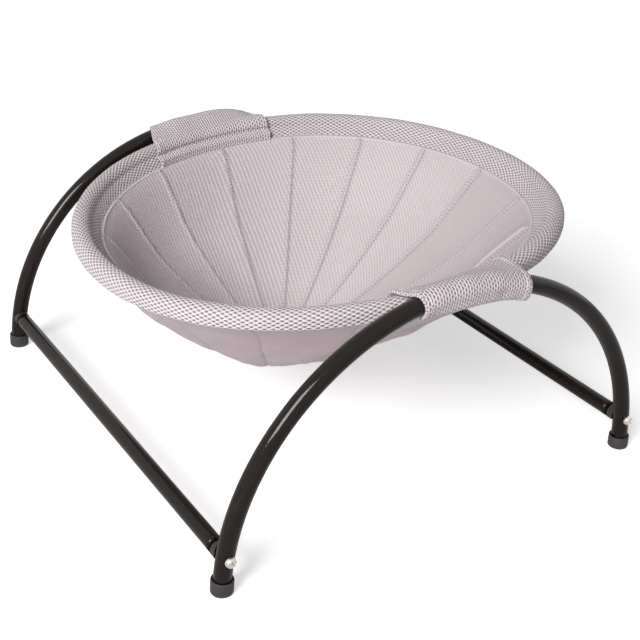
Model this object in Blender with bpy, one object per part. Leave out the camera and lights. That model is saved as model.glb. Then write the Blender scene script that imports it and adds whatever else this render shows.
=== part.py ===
"""Cat hammock: a round sewn bed on a hoop, strapped between two tube arches.

All lengths are in metres. X runs along each arch, Y from one arch to the other and Z up.
The origin lies on the floor in the middle of the frame. The front arch is the one at -Y.
"""

import math

import bmesh
import bpy
from mathutils import Vector

# Clearance kept between pieces that touch
FIT_GAP = 0.0003

# Arches and stretchers
LEG_SPAN = 0.450
ARCH_SPACING = 0.473
ARCH_TUBE_DIAMETER = 0.016
ARCH_TUBE_WALL = 0.0012
STRETCHER_DIAMETER = 0.015
STRETCHER_WALL = 0.0012
STRETCHER_HEIGHT = 0.035
ARCH_STEPS = 32
TUBE_SIDES = 12

# Slip-on foot caps
CAP_HEIGHT = 0.0135
CAP_FLOOR = 0.003
CAP_WALL = 0.0016
CAP_EDGE_ROUNDING = 0.0014

# Screwed joint between a leg and a stretcher
SCREW_DIAMETER = 0.005
SCREW_LENGTH = 0.030
SCREW_TIP_CHAMFER = 0.0006
SCREW_HEAD_DIAMETER = 0.010
SCREW_HEAD_HEIGHT = 0.0045
HEAD_PROFILE_SHARES = ((0.42, 1.0), (0.78, 0.86), (0.97, 0.5), (1.0, 0.0))
RECESS_LENGTH = 0.0048
RECESS_WIDTH = 0.0011
RECESS_DEPTH = 0.0016
SADDLE_LENGTH = 0.004
SADDLE_WING = 0.003
PLUG_LENGTH = 0.018
CUT_OVERRUN = 0.002

# Hoop of four plug-together tubes
HOOP_DIAMETER = 0.012
HOOP_WALL = 0.001
HOOP_DROP = 0.009
HOOP_LENGTH_SHARE = 1.026
HOOP_LEAN = 0.0085
HOOP_BOW = 0.0074
HOOP_SQUARENESS = 2.1
SPIGOT_LENGTH = 0.018
HOOP_SIDES = 8
HOOP_QUARTERS = 4

# Mesh band sewn round the hoop
BAND_THICKNESS = 0.0027
BAND_CLEARANCE = 0.0007
BAND_ARC_STEPS = 6
OUTER_SEAM_BELOW = 0.0002
INNER_SEAM_BELOW = 0.0056
INNER_SEAM_INSET = 0.0095

# Bowl: an outer shell and an inner liner sewn from gores
BOWL_DEPTH = 0.153
BOWL_POWER = 1.52
BOWL_SAG_SHIFT = 0.047
BOWL_SAG_START = 0.018
BOWL_FLAT = 0.020
BOWL_STATION_SHARES = (0.0, 0.03, 0.09, 0.18, 0.30, 0.44, 0.60, 0.78, 1.0)
SHELL_THICKNESS = 0.0012
SHELL_TUCK = 0.0017
LINER_THICKNESS = 0.004
LINER_JOIN = 0.070
GORE_CROWN = 0.0016
GORE_COUNT = 16
STATIONS_PER_GORE = 3

# Wraps that tie the hoop to the arches, closed by hook-and-loop tape
WRAP_LENGTH = 0.122
WRAP_THICKNESS = 0.003
FRONT_WRAP_SHIFT = 0.0041
REAR_WRAP_SHIFT = -0.0024
WRAP_STEPS = 8
WRAP_BAND_STEPS = 4
WRAP_TUBE_STEPS = 6
WRAP_UNDER_STEPS = 4
WRAP_START_SHARE = 0.93
WRAP_SEAM_CLEARANCE = 0.0014
WRAP_END_MARGIN = 0.003
TAPE_THICKNESS = 0.001
TAPE_WIDTH = 0.020
TAPE_LENGTH = 0.100
TAPE_INSET = 0.006

# How the bed hangs and rocks
HAMMOCK_SHIFT = 0.0048
REST_TILT = math.radians(2.5)
ROCK_LIMIT = math.radians(3.5)
ROCK_SLACK_SHARE = 1.15

# Sizes that follow from the ones above
ARCH_RADIUS = LEG_SPAN / 2
TUBE_RADIUS = ARCH_TUBE_DIAMETER / 2
STRETCHER_RADIUS = STRETCHER_DIAMETER / 2
HOOP_RADIUS = HOOP_DIAMETER / 2
SHANK_RADIUS = SCREW_DIAMETER / 2
CLEAR_RADIUS = SHANK_RADIUS + FIT_GAP
LEG_X = math.sqrt(ARCH_RADIUS**2 - STRETCHER_HEIGHT**2)
ARCH_Y = ARCH_SPACING / 2
CAP_BORE_RADIUS = TUBE_RADIUS + FIT_GAP
CAP_RADIUS = CAP_BORE_RADIUS + CAP_WALL
SADDLE_START = TUBE_RADIUS - SADDLE_WING
SADDLE_END = TUBE_RADIUS + FIT_GAP + SADDLE_LENGTH
STRETCHER_HALF = ARCH_Y - SADDLE_END - FIT_GAP
BAND_BORE = (HOOP_RADIUS + FIT_GAP) / math.cos(math.pi / (2 * BAND_ARC_STEPS))
BAND_RADIUS = BAND_BORE + BAND_THICKNESS
HOOP_REACH = BAND_RADIUS + BAND_CLEARANCE + TUBE_RADIUS
HOOP_HALF_WIDTH = ARCH_Y - math.sqrt(HOOP_REACH**2 - HOOP_DROP**2)
HOOP_HALF_LENGTH = HOOP_HALF_WIDTH * HOOP_LENGTH_SHARE
OUTER_SEAM = -(HOOP_RADIUS + OUTER_SEAM_BELOW)
INNER_SEAM = -(HOOP_RADIUS + INNER_SEAM_BELOW)
STATION_COUNT = GORE_COUNT * STATIONS_PER_GORE
FACET_SAG = HOOP_HALF_LENGTH * (1 - math.cos(math.pi / STATION_COUNT))
TAPE_OFFSET = TAPE_THICKNESS + FIT_GAP
WRAP_OFFSET = 2 * TAPE_OFFSET + FIT_GAP

# The rocking axis runs through the two places where the wraps rest on the arches
PIVOT_HEIGHT = ARCH_RADIUS + TUBE_RADIUS + FIT_GAP
HOOP_Z = ARCH_RADIUS - HOOP_DROP - PIVOT_HEIGHT

# Upper edge of the bowl's shell, tucked inside the band
BOWL_TOP_U = BAND_BORE - FIT_GAP
BOWL_RADIUS = HOOP_HALF_LENGTH + BOWL_TOP_U
BOWL_END_U = BOWL_FLAT - HOOP_HALF_WIDTH


def clear_scene():
    """Remove every object that the file opened with."""
    for old in list(bpy.data.objects):
        bpy.data.objects.remove(old, do_unlink=True)


def make_material(name, color, roughness, metallic=0.0):
    """Make a plain material for one piece."""
    material = bpy.data.materials.new(name)
    material.use_nodes = True
    shader = material.node_tree.nodes["Principled BSDF"]
    shader.inputs["Base Color"].default_value = (*color, 1.0)
    shader.inputs["Roughness"].default_value = roughness
    shader.inputs["Metallic"].default_value = metallic
    material.diffuse_color = (*color, 1.0)
    return material


def skin(name, rings, closed=False):
    """Join equal rings of points into one closed mesh, in order.

    A closed run joins its last ring to its first; an open run gets a face over each end.
    """
    bm = bmesh.new()
    rows = [[bm.verts.new(point) for point in ring] for ring in rings]
    pairs = list(zip(rows, rows[1:]))
    if closed:
        pairs.append((rows[-1], rows[0]))
    for near, far in pairs:
        for i in range(len(near)):
            j = (i + 1) % len(near)
            bm.faces.new((near[i], near[j], far[j], far[i]))
    if not closed:
        bm.faces.new(rows[0])
        bm.faces.new(rows[-1])
    bmesh.ops.recalc_face_normals(bm, faces=bm.faces)
    mesh = bpy.data.meshes.new(name)
    bm.to_mesh(mesh)
    bm.free()
    return mesh


def smooth(mesh, angle=math.radians(40)):
    """Shade a mesh round, with its sharper edges kept crisp."""
    mesh.shade_smooth()
    mesh.set_sharp_from_angle(angle=angle)
    return mesh


def split_evenly(mesh):
    """Split the four-sided faces along their shorter diagonal, so nested skins are cut alike."""
    bm = bmesh.new()
    bm.from_mesh(mesh)
    squares = [face for face in bm.faces if len(face.verts) == 4]
    bmesh.ops.triangulate(bm, faces=squares, quad_method="SHORT_EDGE")
    bm.to_mesh(mesh)
    bm.free()
    return mesh


def place(name, mesh, material, location=(0, 0, 0), turn=0.0, parent=None):
    """Add one named piece, turned about Z."""
    piece = bpy.data.objects.new(name, mesh)
    if not mesh.materials:
        mesh.materials.append(None)
    piece.material_slots[0].link = "OBJECT"
    piece.material_slots[0].material = material
    piece.location = location
    piece.rotation_euler = (0, 0, turn)
    piece.parent = parent
    bpy.context.collection.objects.link(piece)
    return piece


def make_cutter(name, mesh, location=(0, 0, 0), parent=None):
    """Add a shape that only cuts others."""
    cutter = bpy.data.objects.new(name, mesh)
    cutter.location = location
    cutter.parent = parent
    cutter.hide_render = True
    cutter.display_type = "WIRE"
    bpy.context.collection.objects.link(cutter)
    return cutter


def cut(piece, cutter):
    """Cut one shape out of a piece."""
    step = piece.modifiers.new(cutter.name, "BOOLEAN")
    step.operation = "DIFFERENCE"
    step.object = cutter


def turned(name, profile, closed=False, sides=TUBE_SIDES):
    """Turn a profile of (radius, distance along Y) about the Y axis."""
    angles = [2 * math.pi * i / sides for i in range(sides)]
    rings = [
        [Vector((radius * math.cos(a), along, radius * math.sin(a))) for a in angles]
        for radius, along in profile
    ]
    return smooth(skin(name, rings, closed))


def arch_ring(angle, radius, sides=TUBE_SIDES):
    """Points round the bent tube, where it stands at an angle above the floor."""
    outward = Vector((math.cos(angle), 0, math.sin(angle)))
    across = Vector((0, 1, 0))
    turns = [2 * math.pi * i / sides for i in range(sides)]
    return [
        outward * (ARCH_RADIUS + radius * math.sin(t)) + across * (radius * math.cos(t))
        for t in turns
    ]


def arch_angles():
    """Stations along the arch: both ends, both cap tops and even steps between."""
    end = (CAP_FLOOR + FIT_GAP) / ARCH_RADIUS
    cap_top = CAP_HEIGHT / ARCH_RADIUS
    span = math.pi - 2 * cap_top
    middle = [cap_top + span * i / ARCH_STEPS for i in range(ARCH_STEPS + 1)]
    return [end, *middle, math.pi - end]


def arch_mesh():
    """One bent tube with its bore."""
    angles = arch_angles()
    outside = [arch_ring(a, TUBE_RADIUS) for a in angles]
    bore = [arch_ring(a, TUBE_RADIUS - ARCH_TUBE_WALL) for a in reversed(angles)]
    return smooth(skin("arch", outside + bore, closed=True))


def arch_form_mesh():
    """A solid copy of the tube, larger by the fit gap, that shapes the saddles."""
    rings = [arch_ring(a, TUBE_RADIUS + FIT_GAP) for a in arch_angles()]
    return skin("arch_form", rings)


def cap_mesh():
    """A rubber cap that follows the bend of the leg, with a flat foot."""
    rounding = CAP_EDGE_ROUNDING
    mid = rounding * (1 - math.sqrt(0.5))
    stations = (
        (0, CAP_RADIUS - rounding),
        (mid, CAP_RADIUS - mid),
        (rounding, CAP_RADIUS),
        (CAP_HEIGHT, CAP_RADIUS),
        (CAP_HEIGHT, CAP_BORE_RADIUS),
        (CAP_FLOOR, CAP_BORE_RADIUS),
    )
    rings = [arch_ring(height / ARCH_RADIUS, radius) for height, radius in stations]
    return smooth(skin("foot_cap", rings))


def screw_mesh():
    """A pan-head machine screw, with its head's underside at the origin."""
    head = [
        (SCREW_HEAD_DIAMETER / 2 * across, -SCREW_HEAD_HEIGHT * up)
        for across, up in HEAD_PROFILE_SHARES
    ]
    shank = [
        (SHANK_RADIUS, 0),
        (SHANK_RADIUS, SCREW_LENGTH - SCREW_TIP_CHAMFER),
        (SHANK_RADIUS - SCREW_TIP_CHAMFER, SCREW_LENGTH),
    ]
    return turned("frame_screw", head + shank)


def recess_mesh():
    """A cross that cuts the driver recess into a screw head."""
    arm = RECESS_LENGTH / 2
    half = RECESS_WIDTH / 2
    outline = [
        (arm, half), (half, half), (half, arm), (-half, arm), (-half, half), (-arm, half),
        (-arm, -half), (-half, -half), (-half, -arm), (half, -arm), (half, -half), (arm, -half),
    ]
    depths = (-SCREW_HEAD_HEIGHT - CUT_OVERRUN, RECESS_DEPTH - SCREW_HEAD_HEIGHT)
    rings = [[Vector((x, y, z)) for x, z in outline] for y in depths]
    return skin("recess", rings)


def tube_profile(outer, inner, start, end):
    """Profile of a straight tube along Y."""
    return [(outer, start), (outer, end), (inner, end), (inner, start)]


def build_frame(paint, rubber, nickel, plastic, steel):
    """Two arches, two stretchers, and at each of the four legs its cap, saddle, plug and screw."""
    arch = arch_mesh()
    arch_form = arch_form_mesh()
    bore_profile = [(CLEAR_RADIUS, -ARCH_SPACING), (CLEAR_RADIUS, ARCH_SPACING)]
    bore = turned("screw_bore", bore_profile)
    rows = {"front": -1, "rear": 1}
    columns = {"left": -1, "right": 1}
    bores = {
        side: make_cutter(f"{side}_screw_bore", bore, (x * LEG_X, 0, STRETCHER_HEIGHT))
        for side, x in columns.items()
    }
    stretcher_bore = STRETCHER_RADIUS - STRETCHER_WALL
    stretcher = turned(
        "stretcher",
        tube_profile(STRETCHER_RADIUS, stretcher_bore, -STRETCHER_HALF, STRETCHER_HALF),
        closed=True,
    )
    for side, x in columns.items():
        place(f"{side}_stretcher", stretcher, paint, (x * LEG_X, 0, STRETCHER_HEIGHT))

    cap = cap_mesh()
    screw = screw_mesh()
    recess = recess_mesh()
    saddle = turned(
        "saddle",
        tube_profile(STRETCHER_RADIUS, CLEAR_RADIUS, SADDLE_START, SADDLE_END),
        closed=True,
    )
    plug_start = SADDLE_END + FIT_GAP
    plug = turned(
        "end_plug",
        tube_profile(stretcher_bore - FIT_GAP, CLEAR_RADIUS, plug_start, plug_start + PLUG_LENGTH),
        closed=True,
    )
    for row, y in rows.items():
        front_arch = place(f"{row}_arch", arch, paint, (0, y * ARCH_Y, 0))
        inward = 0.0 if y < 0 else math.pi
        for side, x in columns.items():
            cut(front_arch, bores[side])
            cap_turn = 0.0 if x > 0 else math.pi
            place(f"foot_cap_{row}_{side}", cap, rubber, (0, y * ARCH_Y, 0), cap_turn)
            joint = (x * LEG_X, y * ARCH_Y, STRETCHER_HEIGHT)
            seat = place(f"saddle_{row}_{side}", saddle, plastic, joint, inward)
            form_place = (x * y * LEG_X, 0, -STRETCHER_HEIGHT)
            cut(seat, make_cutter(f"arch_form_{row}_{side}", arch_form, form_place, seat))
            place(f"end_plug_{row}_{side}", plug, steel, joint, inward)
            head_y = y * (ARCH_Y + TUBE_RADIUS + FIT_GAP)
            head = (x * LEG_X, head_y, STRETCHER_HEIGHT)
            bolt = place(f"frame_screw_{row}_{side}", screw, nickel, head, inward)
            cut(bolt, make_cutter(f"recess_{row}_{side}", recess, parent=bolt))


def bed_point(theta, u, w):
    """A point of the bed: u outward and w upward from the hoop's centreline.

    The hoop is an oval, drawn a little square by the pull of its two wraps.
    """
    c, s = math.cos(theta), math.sin(theta)
    reach_x = math.copysign(abs(c) ** (2 / HOOP_SQUARENESS), c)
    reach_y = math.copysign(abs(s) ** (2 / HOOP_SQUARENESS), s)
    x = (HOOP_HALF_LENGTH + u) * reach_x
    return Vector((x, (HOOP_HALF_WIDTH + u) * reach_y, HOOP_Z + w + bow_at(x)))


def bow_at(x):
    """Rise of the loaded hoop: it leans in its wraps, and both its free sides bow down."""
    share = x / HOOP_HALF_LENGTH
    return HOOP_LEAN * share - HOOP_BOW * share**2


def station_angle(index):
    """Angle of a shared station; pieces that lie close together use the same ones."""
    return 2 * math.pi * index / STATION_COUNT


def hoop_ring(index, radius):
    """Points round the hoop tube at a station."""
    turns = [2 * math.pi * i / HOOP_SIDES for i in range(HOOP_SIDES)]
    theta = station_angle(index)
    return [bed_point(theta, radius * math.cos(t), radius * math.sin(t)) for t in turns]


def between(near, far, share):
    """Points part of the way from one ring to the next."""
    return [a.lerp(b, share) for a, b in zip(near, far)]


def hoop_tube_mesh(first):
    """A quarter of the hoop: a tube whose far end is swaged down to fit the next one."""
    steps = STATION_COUNT // HOOP_QUARTERS
    last = first + steps
    bore = HOOP_RADIUS - HOOP_WALL
    spigot = bore - FIT_GAP
    spigot_bore = spigot - HOOP_WALL
    chord = (hoop_ring(first + 1, 0)[0] - hoop_ring(first, 0)[0]).length
    start_share = FIT_GAP / chord
    end_share = SPIGOT_LENGTH / chord

    def start(radius):
        return between(hoop_ring(first, radius), hoop_ring(first + 1, radius), start_share)

    def tip(radius):
        return between(hoop_ring(last, radius), hoop_ring(last + 1, radius), end_share)

    outside = [start(HOOP_RADIUS)]
    outside += [hoop_ring(i, HOOP_RADIUS) for i in range(first + 1, last + 1)]
    outside += [hoop_ring(last, spigot), tip(spigot)]
    inside = [tip(spigot_bore), hoop_ring(last, spigot_bore)]
    inside += [hoop_ring(i, bore) for i in range(last - 1, first, -1)]
    inside += [start(bore)]
    return smooth(skin("hoop_tube", outside + inside, closed=True))


def inner_leg():
    """Hidden face of the band's inner leg, from the hoop's side to the inner seam."""
    top = Vector((-BAND_BORE, 0))
    foot = Vector((BAND_THICKNESS - BAND_RADIUS - INNER_SEAM_INSET, INNER_SEAM))
    along = (foot - top).normalized()
    toward_bowl = Vector((along.y, -along.x))
    return top, foot, toward_bowl


def band_section():
    """Section of the mesh band: an upturned U with a longer inner leg."""
    top, foot, toward_bowl = inner_leg()
    middle = top.lerp(foot, 0.5)
    turns = [math.pi * i / BAND_ARC_STEPS for i in range(BAND_ARC_STEPS + 1)]
    seen = [Vector((BAND_RADIUS, OUTER_SEAM))]
    seen += [BAND_RADIUS * Vector((math.cos(t), math.sin(t))) for t in turns]
    seen += [middle + toward_bowl * BAND_THICKNESS, foot - Vector((BAND_THICKNESS, 0))]
    hidden = [Vector((BAND_BORE, OUTER_SEAM))]
    hidden += [BAND_BORE * Vector((math.cos(t), math.sin(t))) for t in turns]
    hidden += [middle, foot]
    return seen + hidden[::-1]


def band_mesh():
    """The band, carried once round the hoop."""
    section = band_section()
    rings = [
        [bed_point(station_angle(i), u, w) for u, w in section] for i in range(STATION_COUNT)
    ]
    return smooth(skin("mesh_band", rings, closed=True))


def bowl_point(u):
    """Outer face of the bowl at a distance from the hoop, and its outward direction."""
    share = (HOOP_HALF_LENGTH + u) / BOWL_RADIUS
    w = OUTER_SEAM - BOWL_DEPTH * (1 - share**BOWL_POWER)
    slope = BOWL_DEPTH * BOWL_POWER * share ** (BOWL_POWER - 1) / BOWL_RADIUS
    return Vector((u, w)), Vector((slope, -1)).normalized()


def crown_at(u):
    """How far a gore swells between its seams: nothing at the rim and at the centre."""
    share = (BOWL_TOP_U - u) / (BOWL_TOP_U - BOWL_END_U)
    rise = min(max((share - 0.10) / 0.25, 0), 1)
    fall = min(max((1 - share) / 0.35, 0), 1)
    return GORE_CROWN * rise * fall


def sag_at(u):
    """How far the bowl has sagged toward its lower side, at a distance from the hoop."""
    share = (-BOWL_SAG_START - u) / (HOOP_HALF_LENGTH - BOWL_SAG_START)
    return Vector((-BOWL_SAG_SHIFT * max(share, 0), 0, 0))


def bowl_ring(u, lift):
    """A ring of the bowl at a distance from the hoop, lifted off the shell's outer face.

    The ring swells between the seams of its gores.
    """
    point, outward = bowl_point(u)
    return swollen_ring(point - outward * lift, outward * crown_at(u), sag_at(u))


def swollen_ring(spot, swell, shift):
    """A ring through a place (u, w), swollen between the seams and moved as a whole."""
    ring = []
    for i in range(STATION_COUNT):
        theta = station_angle(i)
        u, w = spot + swell * abs(math.sin(GORE_COUNT * theta / 2))
        ring.append(bed_point(theta, u, w) + shift)
    return ring


def bowl_stations():
    """Distances from the hoop at which shell and liner both have a ring."""
    reach = BOWL_TOP_U - BOWL_END_U
    return [BOWL_TOP_U - reach * share for share in BOWL_STATION_SHARES]


def shell_mesh():
    """The smooth outer shell, its top edge tucked up inside the band."""
    stations = bowl_stations()
    outer = [bowl_ring(u, 0) for u in stations]
    inner = [bowl_ring(u, SHELL_THICKNESS) for u in stations]
    tuck = Vector((0, 0, SHELL_TUCK))
    outer_edge = [spot + tuck for spot in outer[0]]
    inner_edge = [Vector((*spot.xy, edge.z)) for spot, edge in zip(inner[0], outer_edge)]
    rings = outer[::-1] + [outer_edge, inner_edge] + inner
    return smooth(split_evenly(skin("outer_shell", rings)))


def liner_start():
    """Where the liner leaves the shell to reach the band's inner seam.

    Gives the distance u whose outward line passes through the liner's top corner, and how far
    the corner lies from the shell along that line.
    """
    corner = inner_leg()[1] - Vector((0, FIT_GAP))
    low, high = BOWL_END_U, BOWL_TOP_U
    for _ in range(60):
        u = (low + high) / 2
        point, outward = bowl_point(u)
        along = Vector((-outward.y, outward.x))
        if (corner - point).dot(along) > 0:
            low = u
        else:
            high = u
    return u, (point - corner).dot(outward), corner


def liner_mesh():
    """The padded liner, sewn to the band at its top and lying on the shell below."""
    first, lift, corner = liner_start()
    seat = SHELL_THICKNESS + FIT_GAP
    outer = [swollen_ring(corner, Vector((0, 0)), sag_at(first))]
    top_width = Vector((LINER_THICKNESS / bowl_point(first)[1].x, 0))
    inner = [swollen_ring(corner - top_width, Vector((0, 0)), sag_at(first))]
    for u in bowl_stations():
        if u < first - LINER_THICKNESS:
            share = min((first - u) / LINER_JOIN, 1)
            rise = seat + (lift - seat) * (1 - share) ** 2 * (1 + 2 * share)
            outer.append(bowl_ring(u, rise))
            inner.append(bowl_ring(u, rise + LINER_THICKNESS))
    return smooth(split_evenly(skin("inner_liner", outer[::-1] + inner)))


def in_plane(x, spot):
    """Turn a bed position (u, w) into (y, z) where the plane at x cuts the bed."""
    u, w = spot
    share = abs(x) / (HOOP_HALF_LENGTH + u)
    reach = (1 - share**HOOP_SQUARENESS) ** (1 / HOOP_SQUARENESS)
    return Vector(((HOOP_HALF_WIDTH + u) * reach, HOOP_Z + w + bow_at(x)))


def oval_point(oval, angle):
    """The point of an oval (centre, half width, half height) that faces a direction."""
    centre, half_width, half_height = oval
    c, s = math.cos(angle), math.sin(angle)
    size = math.hypot(half_width * c, half_height * s)
    return centre + Vector((half_width**2 * c, half_height**2 * s)) / size


def bridge_angle(inner_oval, outer_oval):
    """Direction that a taut cloth faces where it spans from one oval to the next."""
    low, high = 0.0, math.pi
    for _ in range(40):
        angle = (low + high) / 2
        facing = Vector((math.cos(angle), math.sin(angle)))
        span = oval_point(inner_oval, angle) - oval_point(outer_oval, angle)
        if span.dot(facing) > 0:
            high = angle
        else:
            low = angle
    return angle


def oval_arc(oval, start, end, steps):
    """Points of an oval between two directions."""
    return [oval_point(oval, start + (end - start) * i / steps) for i in range(steps + 1)]


def wrap_faces(x):
    """Inner and outer face of a wrap where it is cut at x, as lists of (y, z).

    The fabric leaves the inner seam, is pulled over the band and the arch tube, comes round
    below the tube with the slack that rocking takes, and ends along the bowl's outer face.
    """
    top, foot, toward_bowl = inner_leg()
    clear = toward_bowl * (FIT_GAP + FACET_SAG)
    seam_foot = foot - Vector((BAND_THICKNESS, 0)) + clear
    leg_middle = top.lerp(foot, 0.5) + toward_bowl * BAND_THICKNESS + clear
    start = leg_middle.lerp(seam_foot, WRAP_START_SHARE)
    inner = [in_plane(x, start), in_plane(x, leg_middle)]

    facet = math.cos(math.pi / 4 / WRAP_UNDER_STEPS)
    hoop = in_plane(x, (0, 0))
    step = WRAP_LENGTH / WRAP_STEPS
    hoop_slope = (hoop - in_plane(abs(x) + step, (0, 0))).x / step
    band_height = (BAND_RADIUS + FIT_GAP) / facet
    band_width = band_height * math.hypot(1, hoop_slope) + FACET_SAG / 2
    tube_x = x + HAMMOCK_SHIFT
    tube_rise = math.sqrt(ARCH_RADIUS**2 - tube_x**2)
    tube = Vector((ARCH_Y, tube_rise - PIVOT_HEIGHT))
    tube_width = (TUBE_RADIUS + FIT_GAP) / facet
    tube_height = TUBE_RADIUS * ARCH_RADIUS / tube_rise / facet
    slack = Vector((0, abs(x) * math.tan(ROCK_LIMIT) * ROCK_SLACK_SHARE + FIT_GAP))
    over_band = (hoop - Vector((FACET_SAG / 2, 0)), band_width, band_height)
    over_tube = (tube + slack, tube_width, tube_height)
    under_tube = (tube - slack, tube_width, tube_height)
    bridge = bridge_angle(over_band, over_tube)
    inner += oval_arc(over_band, math.pi, bridge, WRAP_BAND_STEPS)
    inner += oval_arc(over_tube, bridge, 0, WRAP_TUBE_STEPS)
    inner += oval_arc(under_tube, 0, -math.pi / 2, WRAP_UNDER_STEPS)

    tape_u = BOWL_TOP_U - TAPE_INSET
    end_u = tape_end_u() - WRAP_END_MARGIN / 2
    along_shell = []
    for u in (tape_u, (tape_u + end_u) / 2, end_u):
        point, outward = bowl_point(u)
        along_shell.append(in_plane(x, point + outward * WRAP_OFFSET))
    lowest = inner[-1]
    corner = in_plane(x, (BAND_RADIUS, OUTER_SEAM))
    corner += Vector((WRAP_SEAM_CLEARANCE, -WRAP_SEAM_CLEARANCE))
    share = (lowest.x - corner.x) / (lowest.x - along_shell[0].x)
    corner.y = min(corner.y, lowest.lerp(along_shell[0], share).y)
    inner += [corner, *along_shell]

    outer = []
    for i, spot in enumerate(inner):
        before = inner[max(i - 1, 0)]
        after = inner[min(i + 1, len(inner) - 1)]
        along = (after - before).normalized()
        outer.append(spot + Vector((-along.y, along.x)) * WRAP_THICKNESS)
    return inner, outer


def tape_end_u():
    """Distance from the hoop at which the tapes end."""
    tape_u = BOWL_TOP_U - TAPE_INSET
    outward = bowl_point(tape_u)[1]
    return tape_u + outward.y * TAPE_WIDTH


def wrap_mesh(name, shift, side):
    """One wrap, cut square at both ends."""
    rings = []
    for i in range(WRAP_STEPS + 1):
        x = shift + WRAP_LENGTH * (i / WRAP_STEPS - 0.5)
        inner, outer = wrap_faces(x)
        rings.append([Vector((x, side * y, z)) for y, z in inner + outer[::-1]])
    return smooth(skin(name, rings))


def tape_mesh(name, shift, side, lift):
    """A strip of tape that follows the shell at a given distance from it."""
    start = BOWL_TOP_U - TAPE_INSET
    places = (start, (start + tape_end_u()) / 2, tape_end_u())
    rings = []
    for i in range(WRAP_STEPS + 1):
        x = shift + TAPE_LENGTH * (i / WRAP_STEPS - 0.5)
        faces = []
        for height in (lift, lift + TAPE_THICKNESS):
            spots = [bowl_point(u) for u in places]
            faces.append([in_plane(x, p + n * height) for p, n in spots])
        outline = faces[0] + faces[1][::-1]
        rings.append([Vector((x, side * y, z)) for y, z in outline])
    return smooth(skin(name, rings))


def build_bed(paint, mesh_cloth, liner_cloth, shell_cloth, hook_tape, loop_tape):
    """The hoop and everything sewn to it, hung from the rocking axis."""
    pivot = bpy.data.objects.new("hammock_pivot", None)
    pivot.location = (HAMMOCK_SHIFT, 0, PIVOT_HEIGHT)
    pivot.rotation_euler = (0, -REST_TILT, 0)
    bpy.context.collection.objects.link(pivot)

    eighth = STATION_COUNT // (2 * HOOP_QUARTERS)
    quarter = STATION_COUNT // HOOP_QUARTERS
    for i, name in enumerate(("rear", "left", "front", "right")):
        tube = hoop_tube_mesh(eighth + i * quarter)
        place(f"hoop_tube_{name}", tube, paint, parent=pivot)
    place("mesh_band", band_mesh(), mesh_cloth, parent=pivot)
    place("outer_shell", shell_mesh(), shell_cloth, parent=pivot)
    place("inner_liner", liner_mesh(), liner_cloth, parent=pivot)

    for row, side, shift in (("front", -1, FRONT_WRAP_SHIFT), ("rear", 1, REAR_WRAP_SHIFT)):
        wrap = wrap_mesh(f"{row}_wrap", shift, side)
        place(f"{row}_wrap", wrap, mesh_cloth, parent=pivot)
        loop = tape_mesh(f"{row}_loop_tape", shift, side, FIT_GAP)
        place(f"{row}_loop_tape", loop, loop_tape, parent=pivot)
        hook = tape_mesh(f"{row}_hook_tape", shift, side, FIT_GAP + TAPE_OFFSET)
        place(f"{row}_hook_tape", hook, hook_tape, parent=pivot)


def main():
    """Build the whole hammock."""
    clear_scene()
    paint = make_material("black_paint", (0.012, 0.010, 0.009), 0.22)
    rubber = make_material("grey_rubber", (0.060, 0.055, 0.058), 0.75)
    nickel = make_material("nickel", (0.78, 0.75, 0.72), 0.25, 1.0)
    plastic = make_material("grey_plastic", (0.09, 0.085, 0.085), 0.5)
    steel = make_material("steel", (0.55, 0.54, 0.53), 0.4, 1.0)
    mesh_cloth = make_material("air_mesh", (0.56, 0.50, 0.54), 0.9)
    liner_cloth = make_material("liner_mesh", (0.50, 0.45, 0.48), 0.9)
    shell_cloth = make_material("smooth_cloth", (0.52, 0.46, 0.50), 0.8)
    hook_tape = make_material("hook_tape", (0.45, 0.41, 0.44), 0.9)
    loop_tape = make_material("loop_tape", (0.50, 0.46, 0.49), 0.95)
    build_frame(paint, rubber, nickel, plastic, steel)
    build_bed(paint, mesh_cloth, liner_cloth, shell_cloth, hook_tape, loop_tape)


main()
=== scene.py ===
# %% [markdown]
# # A raised cat hammock
#
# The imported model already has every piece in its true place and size. This lesson gives it
# its looks: smooth bent tubes, rubber feet and screws, and above all the cloth, which is
# worked out as surfaces with numpy. Everything is in metres.

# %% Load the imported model
import math

import bpy
import numpy as np
from mathutils import Matrix


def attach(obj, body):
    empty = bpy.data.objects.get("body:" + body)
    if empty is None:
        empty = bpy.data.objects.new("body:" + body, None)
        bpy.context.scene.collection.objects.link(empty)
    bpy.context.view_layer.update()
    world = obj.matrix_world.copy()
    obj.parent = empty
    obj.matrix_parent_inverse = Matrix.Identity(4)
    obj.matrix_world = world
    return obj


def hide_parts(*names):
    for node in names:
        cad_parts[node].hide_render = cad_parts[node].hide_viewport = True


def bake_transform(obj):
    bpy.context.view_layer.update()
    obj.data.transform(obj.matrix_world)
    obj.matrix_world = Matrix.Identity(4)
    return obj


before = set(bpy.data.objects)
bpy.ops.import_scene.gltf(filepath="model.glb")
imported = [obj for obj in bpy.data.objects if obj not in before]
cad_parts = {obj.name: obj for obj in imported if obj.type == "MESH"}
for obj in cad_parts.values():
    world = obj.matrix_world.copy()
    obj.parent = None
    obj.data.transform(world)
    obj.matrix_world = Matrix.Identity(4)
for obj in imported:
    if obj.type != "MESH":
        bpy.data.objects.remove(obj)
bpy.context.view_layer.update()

# %% [markdown]
# ## The camera
#
# A photograph fixes where the camera stood: lines that are parallel on the frame meet in the
# picture, and the four feet give the rest. The three directions below are the camera's
# right, up and forward, and the lens is written in pixels of a picture 640 wide.

# %% Camera
eye = (-0.58193, -0.88681, 0.63623)
to_right = (0.84169889, -0.53779679, 0.04814144)
to_top = (0.21195072, 0.41108753, 0.88661375)
to_scene = (0.49660837, 0.73605819, -0.45999833)
focal_pixels, picture_pixels = 1164.843, 640


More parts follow.
